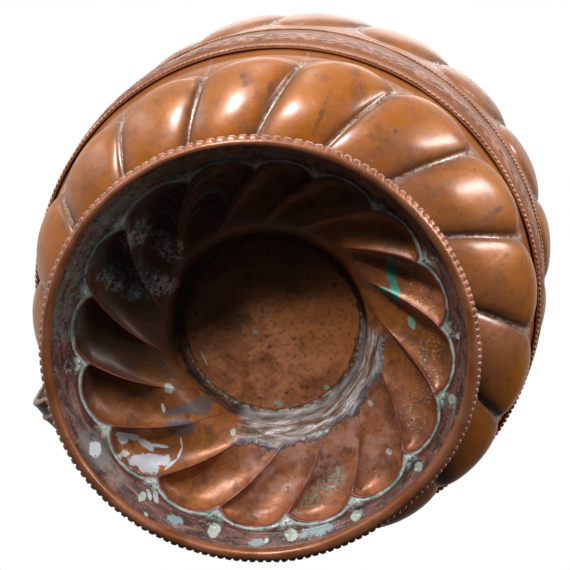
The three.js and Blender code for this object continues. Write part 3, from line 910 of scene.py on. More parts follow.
class Workpiece:
    """A mesh in the making, about the jug's own axis and in millimetres."""

    def __init__(self, name: str) -> None:
        """Starts an empty mesh.

        Args:
            name: The piece's name.
        """
        self.name = name
        self.bm = bmesh.new()

    def sheet(self, columns: int, rows: int) -> tuple[np.ndarray, np.ndarray]:
        """Lays a flat sheet of quads, ready to be wrapped.

        Args:
            columns: The number of columns.
            rows: The number of rows.

        Returns:
            Each vertex's column and row.
        """
        bmesh.ops.create_grid(self.bm, x_segments=columns, y_segments=rows, size=0.5)
        self.bm.verts.index_update()
        flat = np.array([vert.co[:] for vert in self.bm.verts])
        column = np.rint((flat[:, 0] + 0.5) * columns).astype(int)
        row = np.rint((flat[:, 1] + 0.5) * rows).astype(int)
        return column, row

    def place(self, radius: np.ndarray, angle: np.ndarray, height: np.ndarray) -> None:
        """Moves the vertices to places about the axis, angles in radians."""
        x = radius * np.cos(angle)
        y = radius * np.sin(angle)
        for vert, a, b, c in zip(self.bm.verts, x, y, height):
            vert.co = (a, b, c)

    def close(self, column: np.ndarray, row: np.ndarray, radius: np.ndarray) -> None:
        """Joins the wrapped sheet's edges and its points on the axis.

        Args:
            column: Each vertex's column.
            row: Each vertex's row.
            radius: Each vertex's distance from the axis.
        """
        edge = (column == 0) | (column == column.max()) | (row == 0) | (row == row.max())
        edge |= radius < ON_AXIS
        seam = [vert for vert, joins in zip(self.bm.verts, edge) if joins]
        bmesh.ops.remove_doubles(self.bm, verts=seam, dist=JOIN_WITHIN)
        loose = [line for line in self.bm.edges if not line.link_faces]
        bmesh.ops.delete(self.bm, geom=loose, context="EDGES")
        bmesh.ops.recalc_face_normals(self.bm, faces=self.bm.faces[:])

    def turn(self, outline: list[Point], columns: int) -> None:
        """Wraps a closed outline once round the axis.

        Args:
            outline: Points of radius and height.
            columns: The steps of the turn.
        """
        column, row = self.sheet(columns, len(outline))
        line = np.array(outline)[row % len(outline)]
        self.place(line[:, 0], column * (2 * math.pi / columns), line[:, 1])
        self.close(column, row, line[:, 0])

    def repeat(self, template: bpy.types.Mesh, matrix: Matrix) -> None:
        """Adds a moved copy of a small mesh."""
        copy = template.copy()
        copy.transform(matrix)
        self.bm.from_mesh(copy)
        bpy.data.meshes.remove(copy)

    def roughen(self, depth: float, size: float, flat_below: float = -1.0) -> None:
        """Moves the surface in and out a little, as hammering leaves it.

        Args:
            depth: How far, in millimetres.
            size: The size of the dents.
            flat_below: Points below this height stay.
        """
        self.bm.normal_update()
        moves = []
        for vert in self.bm.verts:
            if vert.co.z > flat_below:
                moves.append((vert, vert.normal * (depth * noise.noise(vert.co / size))))
        for vert, move in moves:
            vert.co += move

    def finish(self, slot: Slot, materials: list[Material], *nodes: str) -> bpy.types.Object:
        """Ends the piece: puts it in the frame, dresses it and lets it stand for CAD nodes.

        Args:
            slot: The record's material slot; not used.
            materials: The finishes by face index.
            *nodes: The CAD nodes that it replaces.

        Returns:
            The finished object.
        """
        bmesh.ops.transform(
            self.bm,
            matrix=Matrix.Scale(MM, 4) @ Matrix.Translation((AXIS_X, 0, 0)),
            verts=self.bm.verts[:],
        )
        mesh = bpy.data.meshes.new(self.name)
        self.bm.to_mesh(mesh)
        self.bm.free()
        mesh.shade_smooth()
        piece = bpy.data.objects.new(self.name, mesh)
        bpy.context.scene.collection.objects.link(piece)
        for material in materials:
            mesh.materials.append(material)
        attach(piece, "root")
        if nodes:
            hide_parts(*nodes)
        LOG.info("%s: %d faces", self.name, len(mesh.polygons))
        return piece


def bead_template() -> bpy.types.Mesh:
    """Builds the small ball that bead rows repeat."""
    bm = bmesh.new()
    bmesh.ops.create_uvsphere(bm, u_segments=8, v_segments=6, radius=1)
    mesh = bpy.data.meshes.new("bead")
    bm.to_mesh(mesh)
    bm.free()
    return mesh


@dataclass(frozen=True)
class Station:
    """A point of a shell's outline with the direction out of the metal and its place on the lobes."""

    r: float
    z: float
    out_r: float
    out_z: float
    along: float

    def inner(self) -> "Station":
        """Returns the point on the other side of the sheet."""
        r = max(self.r - SHEET * self.out_r, 0.0)
        return Station(r, self.z - SHEET * self.out_z, self.out_r, self.out_z, self.along)


# The chased rolls round a lobe's tip: each one's place against the outline, its width and its share
ROLLS = ((1.04, 0.045, -0.8), (1.14, 0.05, 0.6), (1.28, 0.05, -0.6))
BOSS_PLACE = 1.53
BOSS_LENGTH = 0.18
BOSS_WIDTH = 0.11


@dataclass(frozen=True)
class Gadroons:
    """Lobes that slant round a shell and end in rounded tips."""

    count: int
    phase: float
    swell: float
    ramp: float
    tip_start: float
    slant: float
    ease: float
    fullness: float = 0.54
    chasing: float = 0.0
    begin: float = 0.0
    upright: float = 1.0
    bosses: float = 0.0
    drift: Sway = Sway()
    early: Sway = Sway()

    def height(self, across: np.ndarray, along: np.ndarray) -> np.ndarray:
        """Returns how far the shell stands out of the creases.

        Args:
            across: Places across a lobe, 0 on the crest and 1 in the creases.
            along: Places along it, 1 at its tip.

        Returns:
            Heights in millimetres.
        """
        tip = np.clip((along - self.tip_start) / (1 - self.tip_start), 0, None)
        edge = across**2 + tip**2
        body = np.clip(1 - edge, 0, None) ** self.fullness
        rise = np.clip(self.ramp * (along - self.begin), 0, 1)
        lobes = self.swell * rise**2 * (3 - 2 * rise) * body
        outline = np.sqrt(edge)
        rolls = np.zeros_like(outline)
        for centre, width, share in ROLLS:
            rolls += share * np.exp(-(((outline - centre) / width) ** 2))
        boss = np.exp(-(((1 - across) / BOSS_WIDTH) ** 2) - ((tip - BOSS_PLACE) / BOSS_LENGTH) ** 2)
        return lobes + self.chasing * rolls * np.clip(tip * 6, 0, 1) + self.bosses * boss

    def hastened(self, turn: np.ndarray, along: np.ndarray) -> np.ndarray:
        """Returns the places along the lobes, which end earlier where the work was uneven."""
        return np.where(along > 0, along * (1 + self.early.at(turn)), along)

    def turned(self, turn: np.ndarray, along: np.ndarray) -> np.ndarray:
        """Returns the angles of the slanting lobes' points, in radians.

        Args:
            turn: Angles about the axis without the slant.
            along: Places along the lobes.

        Returns:
            Angles about the axis, pushed round a little where the work was uneven.
        """
        rest = np.clip(self.upright - along, 0, 1) ** self.ease
        slanted = turn + np.radians(self.phase + self.slant * rest)
        return slanted + np.radians(self.drift.at(slanted))


@dataclass(kw_only=True)
class Wall:
    """A wall's outline: a curve from where its lobes begin to their tips, and plain ends."""

    curve: tuple[Point, ...]
    side: int
    start: list[Point] = field(default_factory=list)
    end: list[Point] = field(default_factory=list)
    start_step: float = 3.0

    def point(self, t: float) -> tuple[Vector, Vector]:
        """Returns the curve's point and its direction at t."""
        a, b, c, d = (Vector(p) for p in self.curve)
        s = 1 - t
        place = a * s**3 + b * (3 * s * s * t) + c * (3 * s * t * t) + d * t**3
        along = (b - a) * (3 * s * s) + (c - b) * (6 * s * t) + (d - c) * (3 * t * t)
        return place, along.normalized()

    def curve_stations(self, rows: int) -> list[Station]:
        """Returns stations along the curve, closer together towards the tips."""
        stations = []
        for i in range(rows + 1):
            t = 1 - (1 - i / rows) ** CROWDING
            place, along = self.point(t)
            stations.append(Station(place.x, place.y, -along.y * self.side, along.x * self.side, t))
        return stations

    def plain_stations(self, points: list[Point], before: bool, step: float) -> list[Station]:
        """Returns stations on a plain end.

        Args:
            points: Its corners, going away from the curve.
            before: Whether it lies before the curve's start.
            step: The distance between stations.

        Returns:
            Its stations, going away from the curve.
        """
        here, _ = self.point(0.0 if before else 1.0)
        near, _ = self.point(0.9)
        rate = 0.1 / (self.point(1.0)[0] - near).length
        along = 0.0 if before else 1.0
        stations = []
        for r, z in points:
            span = Vector((r, z)) - here
            count = max(1, round(span.length / step))
            direction = span.normalized() * (-1 if before else 1)
            for i in range(count):
                place = here + span * (i + 1) / count
                along += 0.0 if before else rate * span.length / count
                out = (-direction.y * self.side, direction.x * self.side)
                stations.append(Station(place.x, place.y, *out, BEFORE_LOBES if before else along))
            here = Vector((r, z))
        return stations

    def stations(self, rows: int) -> list[Station]:
        """Returns the outer stations from start to end.

        Args:
            rows: The steps along the lobes.

        Returns:
            The stations.
        """
        step = next(step for limit, step in END_STEPS if rows < limit)
        before = self.plain_stations(self.start, True, self.start_step)[::-1]
        return before + self.curve_stations(rows) + self.plain_stations(self.end, False, step)


@dataclass(kw_only=True)
class Shell(Wall):
    """A raised shell with lobes."""

    name: str
    gadroons: Gadroons
    slot: Slot
    nodes: tuple[str, ...]
    finishes: list[Material]
    rows: int = 60
    inner_rows: int = 24
    per_lobe: int = 24
    base_radius: float = 0.0
    dents: float = 0.5
    dent_size: float = 22.0
    pressed: Sway = Sway()
    pressed_above: float = 0.0

    def build(self) -> bpy.types.Object:
        """Builds the shell.

        Returns:
            The finished object.
        """
        outer = self.stations(self.rows)
        stations = outer + [s.inner() for s in self.stations(self.inner_rows)[::-1]]
        columns = self.gadroons.count * self.per_lobe
        piece = Workpiece(self.name)
        column, row = piece.sheet(columns, len(stations))
        row = row % len(stations)
        line = np.array([(s.r, s.z, s.out_r, s.out_z, s.along) for s in stations])[row]
        turn = column * (2 * math.pi / columns)
        along = self.gadroons.hastened(turn, line[:, 4])
        self.dress(piece.bm, column, row, along, len(outer), stations)
        across = np.abs(2 * (column / self.per_lobe % 1.0) - 1)
        swell = self.gadroons.height(across, along)
        angle = self.gadroons.turned(turn, along)
        pressed = self.pressed.at(angle) * np.clip((line[:, 1] - self.pressed_above) / PRESS_FADE, 0, 1)
        radius = np.where(line[:, 0] > ON_AXIS, line[:, 0] + line[:, 2] * swell - pressed, 0.0)
        piece.place(radius, angle, line[:, 1] + line[:, 3] * swell)
        piece.close(column, row, line[:, 0])
        piece.roughen(self.dents, self.dent_size)
        return piece.finish(self.slot, self.finishes, *self.nodes)

    def dress(
        self,
        bm: bmesh.types.BMesh,
        column: np.ndarray,
        row: np.ndarray,
        along: np.ndarray,
        outer: int,
        stations: list[Station],
    ) -> None:
        """Writes the lobes' own map and picks each face's finish.

        Args:
            bm: The flat sheet.
            column: Each vertex's column.
            row: Each vertex's row.
            along: Each vertex's place along the lobes.
            outer: The number of rows on the outer side.
            stations: The outline.
        """
        layer = bm.loops.layers.uv.new(UV_NAME)
        places = np.stack([column / self.per_lobe, along], axis=1).tolist()
        rows = row.tolist()
        for face in bm.faces:
            here = [vert.index for vert in face.verts]
            for loop, index in zip(face.loops, here):
                loop[layer].uv = places[index]
            low = min(rows[index] for index in here)
            high = max(rows[index] for index in here)
            if outer <= high and 0 < low:
                face.material_index = Side.INSIDE.value
            elif high < outer and stations[high].r < self.base_radius:
                face.material_index = Side.BASE.value


@dataclass
class Foot:
    """The bell foot, its notched hoop and its solder."""

    rim_finish: Material
    lead_finish: Material
    waist: float = 46.8
    height: float = 50.6
    tip_radius: float = 86.5
    tip_height: float = 14.0
    tip_start: float = 0.854
    notches: int = 166
    bends: tuple[Sway, ...] = (Sway(2.4, 140, 30), Sway(-2.4, 50, 26))
    widening: tuple[Sway, ...] = (Sway(-1.2, 60, 30), Sway(1.3, -130, 50))

    def bell(self) -> None:
        """Builds the lobed bell."""
        top = self.height - 0.3
        finishes = [
            PolishedCopper("foot_outside", tip_start=self.tip_start).material(),
            FootInside(tip_start=self.tip_start).material(),
        ]
        lobes = Gadroons(
            count=16, phase=8.6, swell=6.0, ramp=2.2, tip_start=self.tip_start, slant=-40, ease=1.0,
            fullness=0.66, chasing=0.6, begin=0.26, upright=0.915, bosses=0.8,
            drift=Sway(7.1, -113, 34),
        )
        Shell(
            name="bell_foot",
            curve=(
                (self.waist, top - 5),
                (self.waist + 1.4, top - 17.3),
                (self.tip_radius - 19.1, self.tip_height + 9.5),
                (self.tip_radius, self.tip_height),
            ),
            side=1,
            gadroons=lobes,
            slot=Slot.FOOT,
            nodes=("foot",),
            finishes=finishes,
            start=[(self.waist, top)],
            end=[(self.tip_radius + 3, self.tip_height - 1.5), (94.9, 5.8), (97.2, 4.4)],
            rows=36,
            inner_rows=76,
            per_lobe=40,
            dents=0.6,
        ).build()

    def notch_angles(self) -> np.ndarray:
        """Returns the notches' places in radians, looser at one side and tighter at another."""
        angles = np.linspace(-math.pi, math.pi, 1441)
        seen = photo_angle(angles)
        density = 1 - 0.26 * np.exp(-(((seen + 90) / 34) ** 2)) + 0.2 * np.exp(-((seen / 34) ** 2))
        total = np.concatenate([[0.0], np.cumsum((density[1:] + density[:-1]) / 2)])
        return np.interp(np.arange(self.notches) / self.notches, total / total[-1], angles)

    def hoop(self) -> None:
        """Builds the hoop that the jug stands on: a smooth wire with a hammered, notched outer edge."""
        # Each corner's radius and height, and how much of a notch's depth it takes
        outline = [
            (94.6, 0.9, 0.0), (95.2, 0.3, 0.0), (96.1, 0.0, 0.0), (97.3, 0.0, 0.0), (98.1, 0.35, 0.0),
            (98.5, 1.0, 0.1), (98.75, 1.35, 0.4), (99.3, 1.6, 0.8), (99.8, 2.2, 1.0), (100.0, 3.2, 1.0),
            (99.9, 4.4, 1.0), (99.4, 5.3, 0.9), (98.6, 5.9, 0.5), (97.8, 6.5, 0.1), (96.4, 6.9, 0.0),
            (95.2, 6.8, 0.0), (94.4, 6.0, 0.0), (94.0, 4.6, 0.0), (94.0, 3.0, 0.0), (94.2, 1.8, 0.0),
        ]
        per_notch = 9
        columns = self.notches * per_notch
        piece = Workpiece("standing_hoop")
        column, row = piece.sheet(columns, len(outline))
        line = np.array(outline)[row % len(outline)]
        starts = self.notch_angles()
        ends = np.append(starts[1:], starts[0] + 2 * math.pi)
        cell = (column // per_notch) % self.notches
        step = column % per_notch / per_notch
        angle = starts[cell] + (ends[cell] - starts[cell]) * step
        groove = np.maximum(0, 1 - np.abs(step - 0.5) / 0.2) ** 0.7
        uneven = np.array([noise.noise(Vector((i * 0.73, 2.1, 0.0))) for i in range(self.notches)])[cell]
        cut = line[:, 2] * (groove * (1.15 + 0.5 * uneven) - 0.25 * uneven)
        bend = sum(part.at(angle) for part in self.bends)
        bend += sum(part.at(angle) for part in self.widening) * np.clip((97 - line[:, 0]) / 3, 0, 1)
        layer = piece.bm.verts.layers.float.new("deep")
        for vert, depth in zip(piece.bm.verts, line[:, 2] * groove):
            vert[layer] = depth
        piece.place(line[:, 0] - cut + bend, angle, line[:, 1])
        piece.close(column, row, line[:, 0])
        piece.roughen(0.25, 14.0, flat_below=0.3)
        piece.finish(Slot.RIM, [self.rim_finish], "foot_hoop")

    def solder(self) -> None:
        """Builds the lumpy fillet under the body."""
        wall = self.waist - 0.4
        corners = [
            (0.0, 0.3), (3.5, 0.3), (6.9, 0.3), (5.8, -0.15), (4.4, -0.6), (3.2, -1.3), (2.3, -2.3),
            (1.7, -3.6), (1.35, -5.0), (0.8, -6.3), (0.0, -7.0), (0.0, -3.5),
        ]
        outline = [(wall - inwards, self.height + up) for inwards, up in corners]
        piece = Workpiece("foot_solder")
        piece.turn(outline, 300)
        piece.roughen(0.4, 4.5)
        piece.finish(Slot.SOLDER, [self.lead_finish], "foot_solder_ring")

    def build(self) -> None:
        """Builds the whole foot."""
        self.bell()
        self.hoop()
        self.solder()


@dataclass
class Body:
    """The two lobed bowls and the band round the belly."""

    inside_finish: Material
    bead_finish: Material
    underside: float = 50.6
    edge: float = 120.7
    band_bottom: float = 100.5
    band_top: float = 147.5
    seam: float = 124.0
    shoulder: float = 237.0
    flange: float = 45.7

    def lower_bowl(self) -> None:
        """Builds the lower bowl."""
        outside = PolishedCopper().material()
        Shell(
            name="lower_shell",
            curve=(
                (49.8, self.underside),
                (88.8, self.underside + 1.5),
                (self.edge - 2.4, self.band_bottom - 30),
                (self.edge - 1.7, self.band_bottom - 3.5),
            ),
            side=-1,
            gadroons=Gadroons(
                count=16, phase=21.8, swell=4.9, ramp=1.8, tip_start=0.78, slant=-24, ease=1.6,
                chasing=-0.2, early=Sway(0.14, -140, 45),
            ),
            slot=Slot.BODY,
            nodes=("lower_bowl",),
            finishes=[outside, self.inside_finish, HammeredBase().material()],
            start=[(45.0, self.underside), (0.0, self.underside)],
            start_step=1.9,
            end=[(self.edge, self.band_bottom + 2), (self.edge, self.seam - 0.2)],
            base_radius=46.0,
            rows=64,
        ).build()

    def upper_bowl(self) -> None:
        """Builds the upper bowl."""
        outside = PolishedCopper("upper_copper", tip_start=0.8).material()
        Shell(
            name="upper_shell",
            curve=(
                (self.flange + 3, self.shoulder),
                (self.flange + 72, self.shoulder - 5),
                (self.edge, self.band_top + 52),
                (self.edge + 1.6, self.band_top + 11.5),
            ),
            side=1,
            gadroons=Gadroons(
                count=18, phase=18.8, swell=4.4, ramp=2.2, tip_start=0.8, slant=26, ease=1.0, chasing=0.2
            ),
            slot=Slot.BODY,
            nodes=("upper_bowl",),
            finishes=[outside, self.inside_finish],
            start=[(self.flange, self.shoulder + 4)],
            end=[(self.edge, self.band_top), (self.edge, self.seam + 0.2)],
            rows=70,
            per_lobe=22,
            dents=0.4,
            pressed=Sway(5.0, -142, 26),
            pressed_above=self.band_top + 1,
        ).build()

    def band(self) -> None:
        """Builds the belly band: a plain strip, a raised belt and another plain strip."""
        outline = [
            (121.0, 100.7), (121.6, 100.5), (121.9, 100.9), (121.9, 102.4), (121.8, 103.8), (121.7, 104.4),
            (121.9, 105.2), (122.0, 107.0), (122.0, 109.4), (121.95, 111.2), (122.1, 112.2), (122.7, 113.2),
            (123.3, 114.4), (123.7, 116.4), (123.95, 119.0), (124.0, 122.0), (123.95, 125.0),
            (123.75, 127.6), (123.4, 129.8), (122.9, 131.2), (122.6, 132.4), (122.6, 134.4),
            (122.6, 138.0), (122.6, 141.4), (122.5, 143.0), (122.3, 143.6), (122.5, 144.2),
            (122.5, 146.0), (122.3, 147.2), (121.8, 147.5), (121.0, 147.3), (121.0, 135.0),
            (121.0, 124.0), (121.0, 112.0),
        ]
        piece = Workpiece("belly_hoop")
        piece.turn(outline, 360)
        piece.roughen(0.15, 18.0)
        piece.finish(Slot.BAND, [PunchedCopper().material()], "belly_band")

    def beads(self) -> None:
        """Builds the two rows of slanted beads on the band's edges."""
        rows = [
            ("lower_beads", 292, 122.25, 102.0, (0.8, 1.75, 0.85), 34),
            ("upper_beads", 372, 122.75, 145.4, (0.6, 1.25, 0.7), 32),
        ]
        template = bead_template()
        for name, count, radius, height, size, lean in rows:
            piece = Workpiece(name)
            for i in range(count):
                uneven = noise.noise(Vector((i * 0.41, height, 0)))
                matrix = (
                    Matrix.Rotation(2 * math.pi * i / count, 4, "Z")
                    @ Matrix.Translation((radius, 0, height + 0.15 * uneven))
                    @ Matrix.Rotation(math.radians(lean), 4, "X")
                    @ Matrix.Diagonal((size[0], size[1] * (1 + 0.25 * uneven), size[2], 1))
                )
                piece.repeat(template, matrix)
            piece.finish(Slot.BAND, [self.bead_finish])
        bpy.data.meshes.remove(template)

    def build(self) -> None:
        """Builds the whole body."""
        self.lower_bowl()
        self.upper_bowl()
        self.band()
        self.beads()


@dataclass
class Neck:
    """The neck with its flared mouth and lip, the rolled rim and the collar."""

    outside_finish: Material
    inside_finish: Material
    rim_finish: Material
    radius: float = 44.0
    bottom: float = 231.0
    flare_bottom: float = 299.0
    mouth_radius: float = 60.0
    mouth_top: float = 319.0
    lip_reach: float = 17.0
    lip_rise: float = 8.0
    lip_half_angle: float = 24.0
    rim_radius: float = 2.15
    rim_steps: int = 14
    flare_rows: int = 22
    columns: int = 180
    on_crest: Point = (0.5, 0.0)

    def wrap(
        self, piece: Workpiece, outline: list[tuple[float, float, float]]
    ) -> tuple[np.ndarray, np.ndarray]:
        """Wraps a closed outline round the axis and draws the pouring lip out of it.

        Args:
            piece: The empty workpiece.
            outline: Points of radius, height and how far they follow the lip.

        Returns:
            Each vertex's column and row.
        """
        column, row = piece.sheet(self.columns, len(outline))
        line = np.array(outline)[row % len(outline)]
        angle = column * (2 * math.pi / self.columns)
        from_lip = np.degrees(np.arctan2(np.sin(angle), np.cos(angle))) / self.lip_half_angle
        lip = line[:, 2] * np.exp(-(from_lip**2))
        piece.place(line[:, 0] + self.lip_reach * lip, angle, line[:, 1] + self.lip_rise * lip)
        return column, row

    def pipe(self) -> None:
        """Builds the neck and its mouth."""
        shape = Wall(
            curve=(
                (self.radius, self.flare_bottom),
                (self.radius + 1, self.flare_bottom + 10),
                (self.mouth_radius - 7, self.mouth_top - 6),
                (self.mouth_radius, self.mouth_top),
            ),
            side=-1,
            start=[(self.radius, self.bottom)],
        )
        outer = shape.stations(self.flare_rows)
        outline = [(s.r, s.z, max(s.along, 0.0) ** 2) for s in outer + [s.inner() for s in outer[::-1]]]
        piece = Workpiece("neck_pipe")
        column, row = self.wrap(piece, outline)
        rows = (row % len(outline)).tolist()
        layer = piece.bm.loops.layers.uv.new(UV_NAME)
        for face in piece.bm.faces:
            here = [rows[vert.index] for vert in face.verts]
            side = Side.INSIDE if len(outer) <= max(here) and 0 < min(here) else Side.OUTSIDE
            face.material_index = side.value
            for loop in face.loops:
                loop[layer].uv = self.on_crest
        piece.close(column, row, np.array(outline)[row % len(outline), 0])
        piece.roughen(0.35, 20.0)
        piece.finish(Slot.BODY, [self.outside_finish, self.inside_finish], "neck")

    def rim(self) -> None:
        """Builds the rolled rim."""
        outline = []
        for i in range(self.rim_steps):
            angle = 2 * math.pi * i / self.rim_steps
            across = self.mouth_radius + 0.6 + self.rim_radius * math.cos(angle)
            outline.append((across, self.mouth_top + 3.1 + self.rim_radius * math.sin(angle), 1.0))
        piece = Workpiece("rolled_rim")
        column, row = self.wrap(piece, outline)
        piece.close(column, row, np.full(len(row), self.mouth_radius))
        piece.roughen(0.12, 12.0)
        piece.finish(Slot.RIM, [self.rim_finish], "mouth_rim")

    def collar(self) -> None:
        """Builds the collar over the joint."""
        outline = [
            (44.3, 241.4), (48.6, 241.4), (49.6, 242.0), (50.05, 243.2), (50.15, 244.6), (50.0, 246.4),
            (49.4, 247.8), (48.4, 248.6), (47.2, 248.9), (46.4, 249.4), (45.6, 250.1), (44.3, 250.2),
        ]
        piece = Workpiece("neck_ring")
        piece.turn(outline, self.columns)
        piece.roughen(0.12, 9.0)
        piece.finish(Slot.RIM, [self.rim_finish], "neck_collar")

    def build(self) -> None:
        """Builds the whole neck."""
        self.pipe()
        self.rim()
        self.collar()


@dataclass
class Handle:
    """The strap handle and its rivets."""

    strap_finish: Material
    rivet_finish: Material
    width: float = 46.8
    end_width: float = 32.0
    thickness: float = 2.2
    rib_height: float = 1.8
    rib_offset: float = 13.2
    band_seat: float = 124.1
    neck_seat: float = 44.3
    outermost: float = 168.7
    band_top: float = 147.5
    top: float = 281.5
    low: float = 105.5
    rivet_top: float = 291.0
    foot_of_neck_end: float = 265.0
    worn_edge: float = 22.6
    head_radius: float = 4.75
    shank_radius: float = 2.3
    inner_dome: float = 2.2
    outer_dome: float = 2.15
    dome_angles: tuple[float, ...] = (0.35, 0.7, 1.05, 1.35)
    rivets: tuple[tuple[str, float, float, float], ...] = (
        ("band_rivet_1", 114.0, 118.9, 126.9),
        ("band_rivet_2", 134.0, 118.9, 126.9),
        ("neck_rivet_1", 271.0, 42.0, 47.1),
        ("neck_rivet_2", 291.0, 42.0, 47.1),
    )

    def places(self) -> list[Vector]:
        """Returns the points that the strap's inner face passes, as radius and height."""
        reach = self.outermost - self.band_seat
        rise = self.top - self.band_top
        across = self.outermost - self.neck_seat
        points = [
            (self.band_seat, self.low),
            (self.band_seat, self.low + 15),
            (self.band_seat, self.band_top - 9),
        ]
        for out, up in (
            (0.024, -0.022), (0.1, 0.022), (0.22, 0.064), (0.43, 0.128), (0.64, 0.193), (0.8, 0.248),
            (0.93, 0.343), (0.98, 0.445),
        ):
            points.append((self.band_seat + reach * out, self.band_top + rise * up))
        for out, up in (
            (1, 0.55), (0.991, 0.675), (0.952, 0.788), (0.872, 0.887), (0.756, 0.96), (0.613, 0.998),
            (0.461, 1), (0.317, 0.966), (0.193, 0.905),
        ):
            points.append((self.neck_seat + across * out, self.band_top + rise * up))
        foot = self.foot_of_neck_end
        points += [
            (self.neck_seat + 12.7, foot - 4.2), (self.neck_seat + 5.9, foot - 7),
            (self.neck_seat + 1.6, foot - 5), (self.neck_seat, foot),
            (self.neck_seat, self.rivet_top - 10), (self.neck_seat, self.rivet_top + 7),
        ]
        return [Vector(p) for p in points]

    def line(self, t: float) -> tuple[Vector, Vector]:
        """Returns the strap's place and direction at t, from 0 at the band to 1 at the neck."""
        points = self.places()
        whole = t * (len(points) - 1)
        i = min(int(whole), len(points) - 2)
        before = points[i - 1] if i > 0 else points[0] * 2 - points[1]
        after = points[i + 2] if i + 2 < len(points) else points[-1] * 2 - points[-2]
        a, b = points[i], points[i + 1]
        knots = [0.0]
        for p, q in ((before, a), (a, b), (b, after)):
            knots.append(knots[-1] + max((q - p).length, 1e-4) ** 0.5)
        k0, k1, k2, k3 = knots

        def at(u: float) -> Vector:
            """Returns the point of this span at knot value u."""
            a1 = before.lerp(a, (u - k0) / (k1 - k0))
            a2 = a.lerp(b, (u - k1) / (k2 - k1))
            a3 = b.lerp(after, (u - k2) / (k3 - k2))
            b1 = a1.lerp(a2, (u - k0) / (k2 - k0))
            b2 = a2.lerp(a3, (u - k1) / (k3 - k1))
            return b1.lerp(b2, (u - k1) / (k2 - k1))

        u = k1 + (k2 - k1) * (whole - i)
        small = (k2 - k1) * 0.01
        return at(u), (at(u + small) - at(u - small)).normalized()

    def face_height(self, across: float) -> float:
        """Returns the outer face's height over the inner face.

        Args:
            across: The distance from the strap's middle, at its full width.

        Returns:
            The height in millimetres.
        """
        y = abs(across)
        half = self.width / 2
        inwards = min(y, self.rib_offset) / self.rib_offset
        hollow = self.thickness + (self.rib_height - 0.3) * inwards**2
        rib = 0.35 * math.exp(-(((y - self.rib_offset) / 0.9) ** 2))
        border = self.thickness + 0.4 + 0.55 * smoothstep((y - half + 3.2) / 2.0)
        edge = smoothstep((half - y) / 0.9) * 0.45 + 0.55
        share = smoothstep((y - self.rib_offset) / 1.8)
        return (hollow * (1 - share) + border * share) * edge + rib

    def strap(self) -> None:
        """Builds the strap from a flat sheet, thickened, given its ribs and bent along its line."""
        steps, columns = 150, 72
        piece = Workpiece("grip_strap")
        bmesh.ops.create_grid(piece.bm, x_segments=steps, y_segments=columns, size=0.5)
        raised = bmesh.ops.extrude_face_region(piece.bm, geom=piece.bm.faces[:])
        for vert in raised["geom"]:
            if isinstance(vert, bmesh.types.BMVert):
                vert.co.z = 1.0
        worn = piece.bm.verts.layers.float.new("worn")
        stations = [self.line(i / steps) for i in range(steps + 1)]
        for vert in piece.bm.verts:
            step = round((vert.co.x + 0.5) * steps)
            place, along = stations[step]
            on_band = step < steps / 2
            seat = self.band_seat if on_band else self.neck_seat
            r = max(place.x, seat)
            away = (place.y - self.band_top + 9) / 12 if on_band else (r - seat - 4) / 20
            near = 1 - smoothstep(away)
            flat = vert.co.y * self.width
            across = flat * (1 - (1 - self.end_width / self.width) * near)
            outer = vert.co.z > 0.5
            height = self.face_height(flat) if outer else 0.0
            sag = (seat - math.sqrt(seat * seat - across * across)) * near
            rib = math.exp(-(((abs(flat) - self.rib_offset) / 1.3) ** 2))
            edge = math.exp(-(((abs(flat) - self.worn_edge) / 1.4) ** 2))
            vert[worn] = max(rib, edge) if outer else 0.0
            vert.co = (sag - r - along.y * height, across, place.y - along.x * height)
        bmesh.ops.recalc_face_normals(piece.bm, faces=piece.bm.faces[:])
        piece.roughen(0.25, 12.0)
        piece.finish(Slot.HANDLE, [self.strap_finish], "handle_strap")

    def rivet(self, name: str, height: float, inner: float, outer: float) -> None:
        """Builds one hammered rivet.

        Args:
            name: The CAD node that it replaces.
            height: Its height over the standing plane.
            inner: The seat of its inner head, from the axis.
            outer: The seat of its outer head.
        """
        dome = self.head_radius - 0.05
        outline = [(0.0, inner - self.inner_dome)]
        outline += [(dome * math.sin(a), inner - self.inner_dome * math.cos(a)) for a in self.dome_angles]
        outline += [(self.head_radius, inner), (self.shank_radius, inner)]
        outline += [(self.shank_radius, outer), (self.head_radius, outer)]
        outline += [
            (dome * math.sin(a), outer + self.outer_dome * math.cos(a)) for a in self.dome_angles[::-1]
        ]
        outline += [(0.0, outer + self.outer_dome)]
        piece = Workpiece(name.replace("rivet", "stud"))
        piece.turn(outline, 28)
        turn = Matrix.Translation((0, 0, height)) @ Matrix.Rotation(-math.pi / 2, 4, "Y")
        bmesh.ops.transform(piece.bm, matrix=turn, verts=piece.bm.verts[:])
        piece.finish(Slot.RIM, [self.rivet_finish], name)

    def build(self) -> None:
        """Builds the handle."""
        self.strap()
        for rivet in self.rivets:
            self.rivet(*rivet)


# Studio


@dataclass
class Lamp:
    """A soft rectangular lamp that faces the jug."""

    name: str
    towards: tuple[float, float, float]
    distance: float
    size: tuple[float, float]
    power: float

    def place(self, target: Vector, upright: Vector) -> None:
        """Hangs the lamp.

        Args:
            target: The point that it faces.
            upright: The direction that its second side follows.
        """
        light = bpy.data.lights.new(self.name, "AREA")
        light.shape = "RECTANGLE"
        light.size, light.size_y = self.size
        light.energy = self.power
        lamp = bpy.data.objects.new(self.name, light)
        direction = Vector(self.towards).normalized()
        side = (upright - direction * upright.dot(direction)).normalized()
        turned = Matrix((side.cross(direction), side, direction)).transposed().to_4x4()
        lamp.matrix_world = Matrix.Translation(target + direction * self.distance) @ turned
        bpy.context.scene.collection.objects.link(lamp)


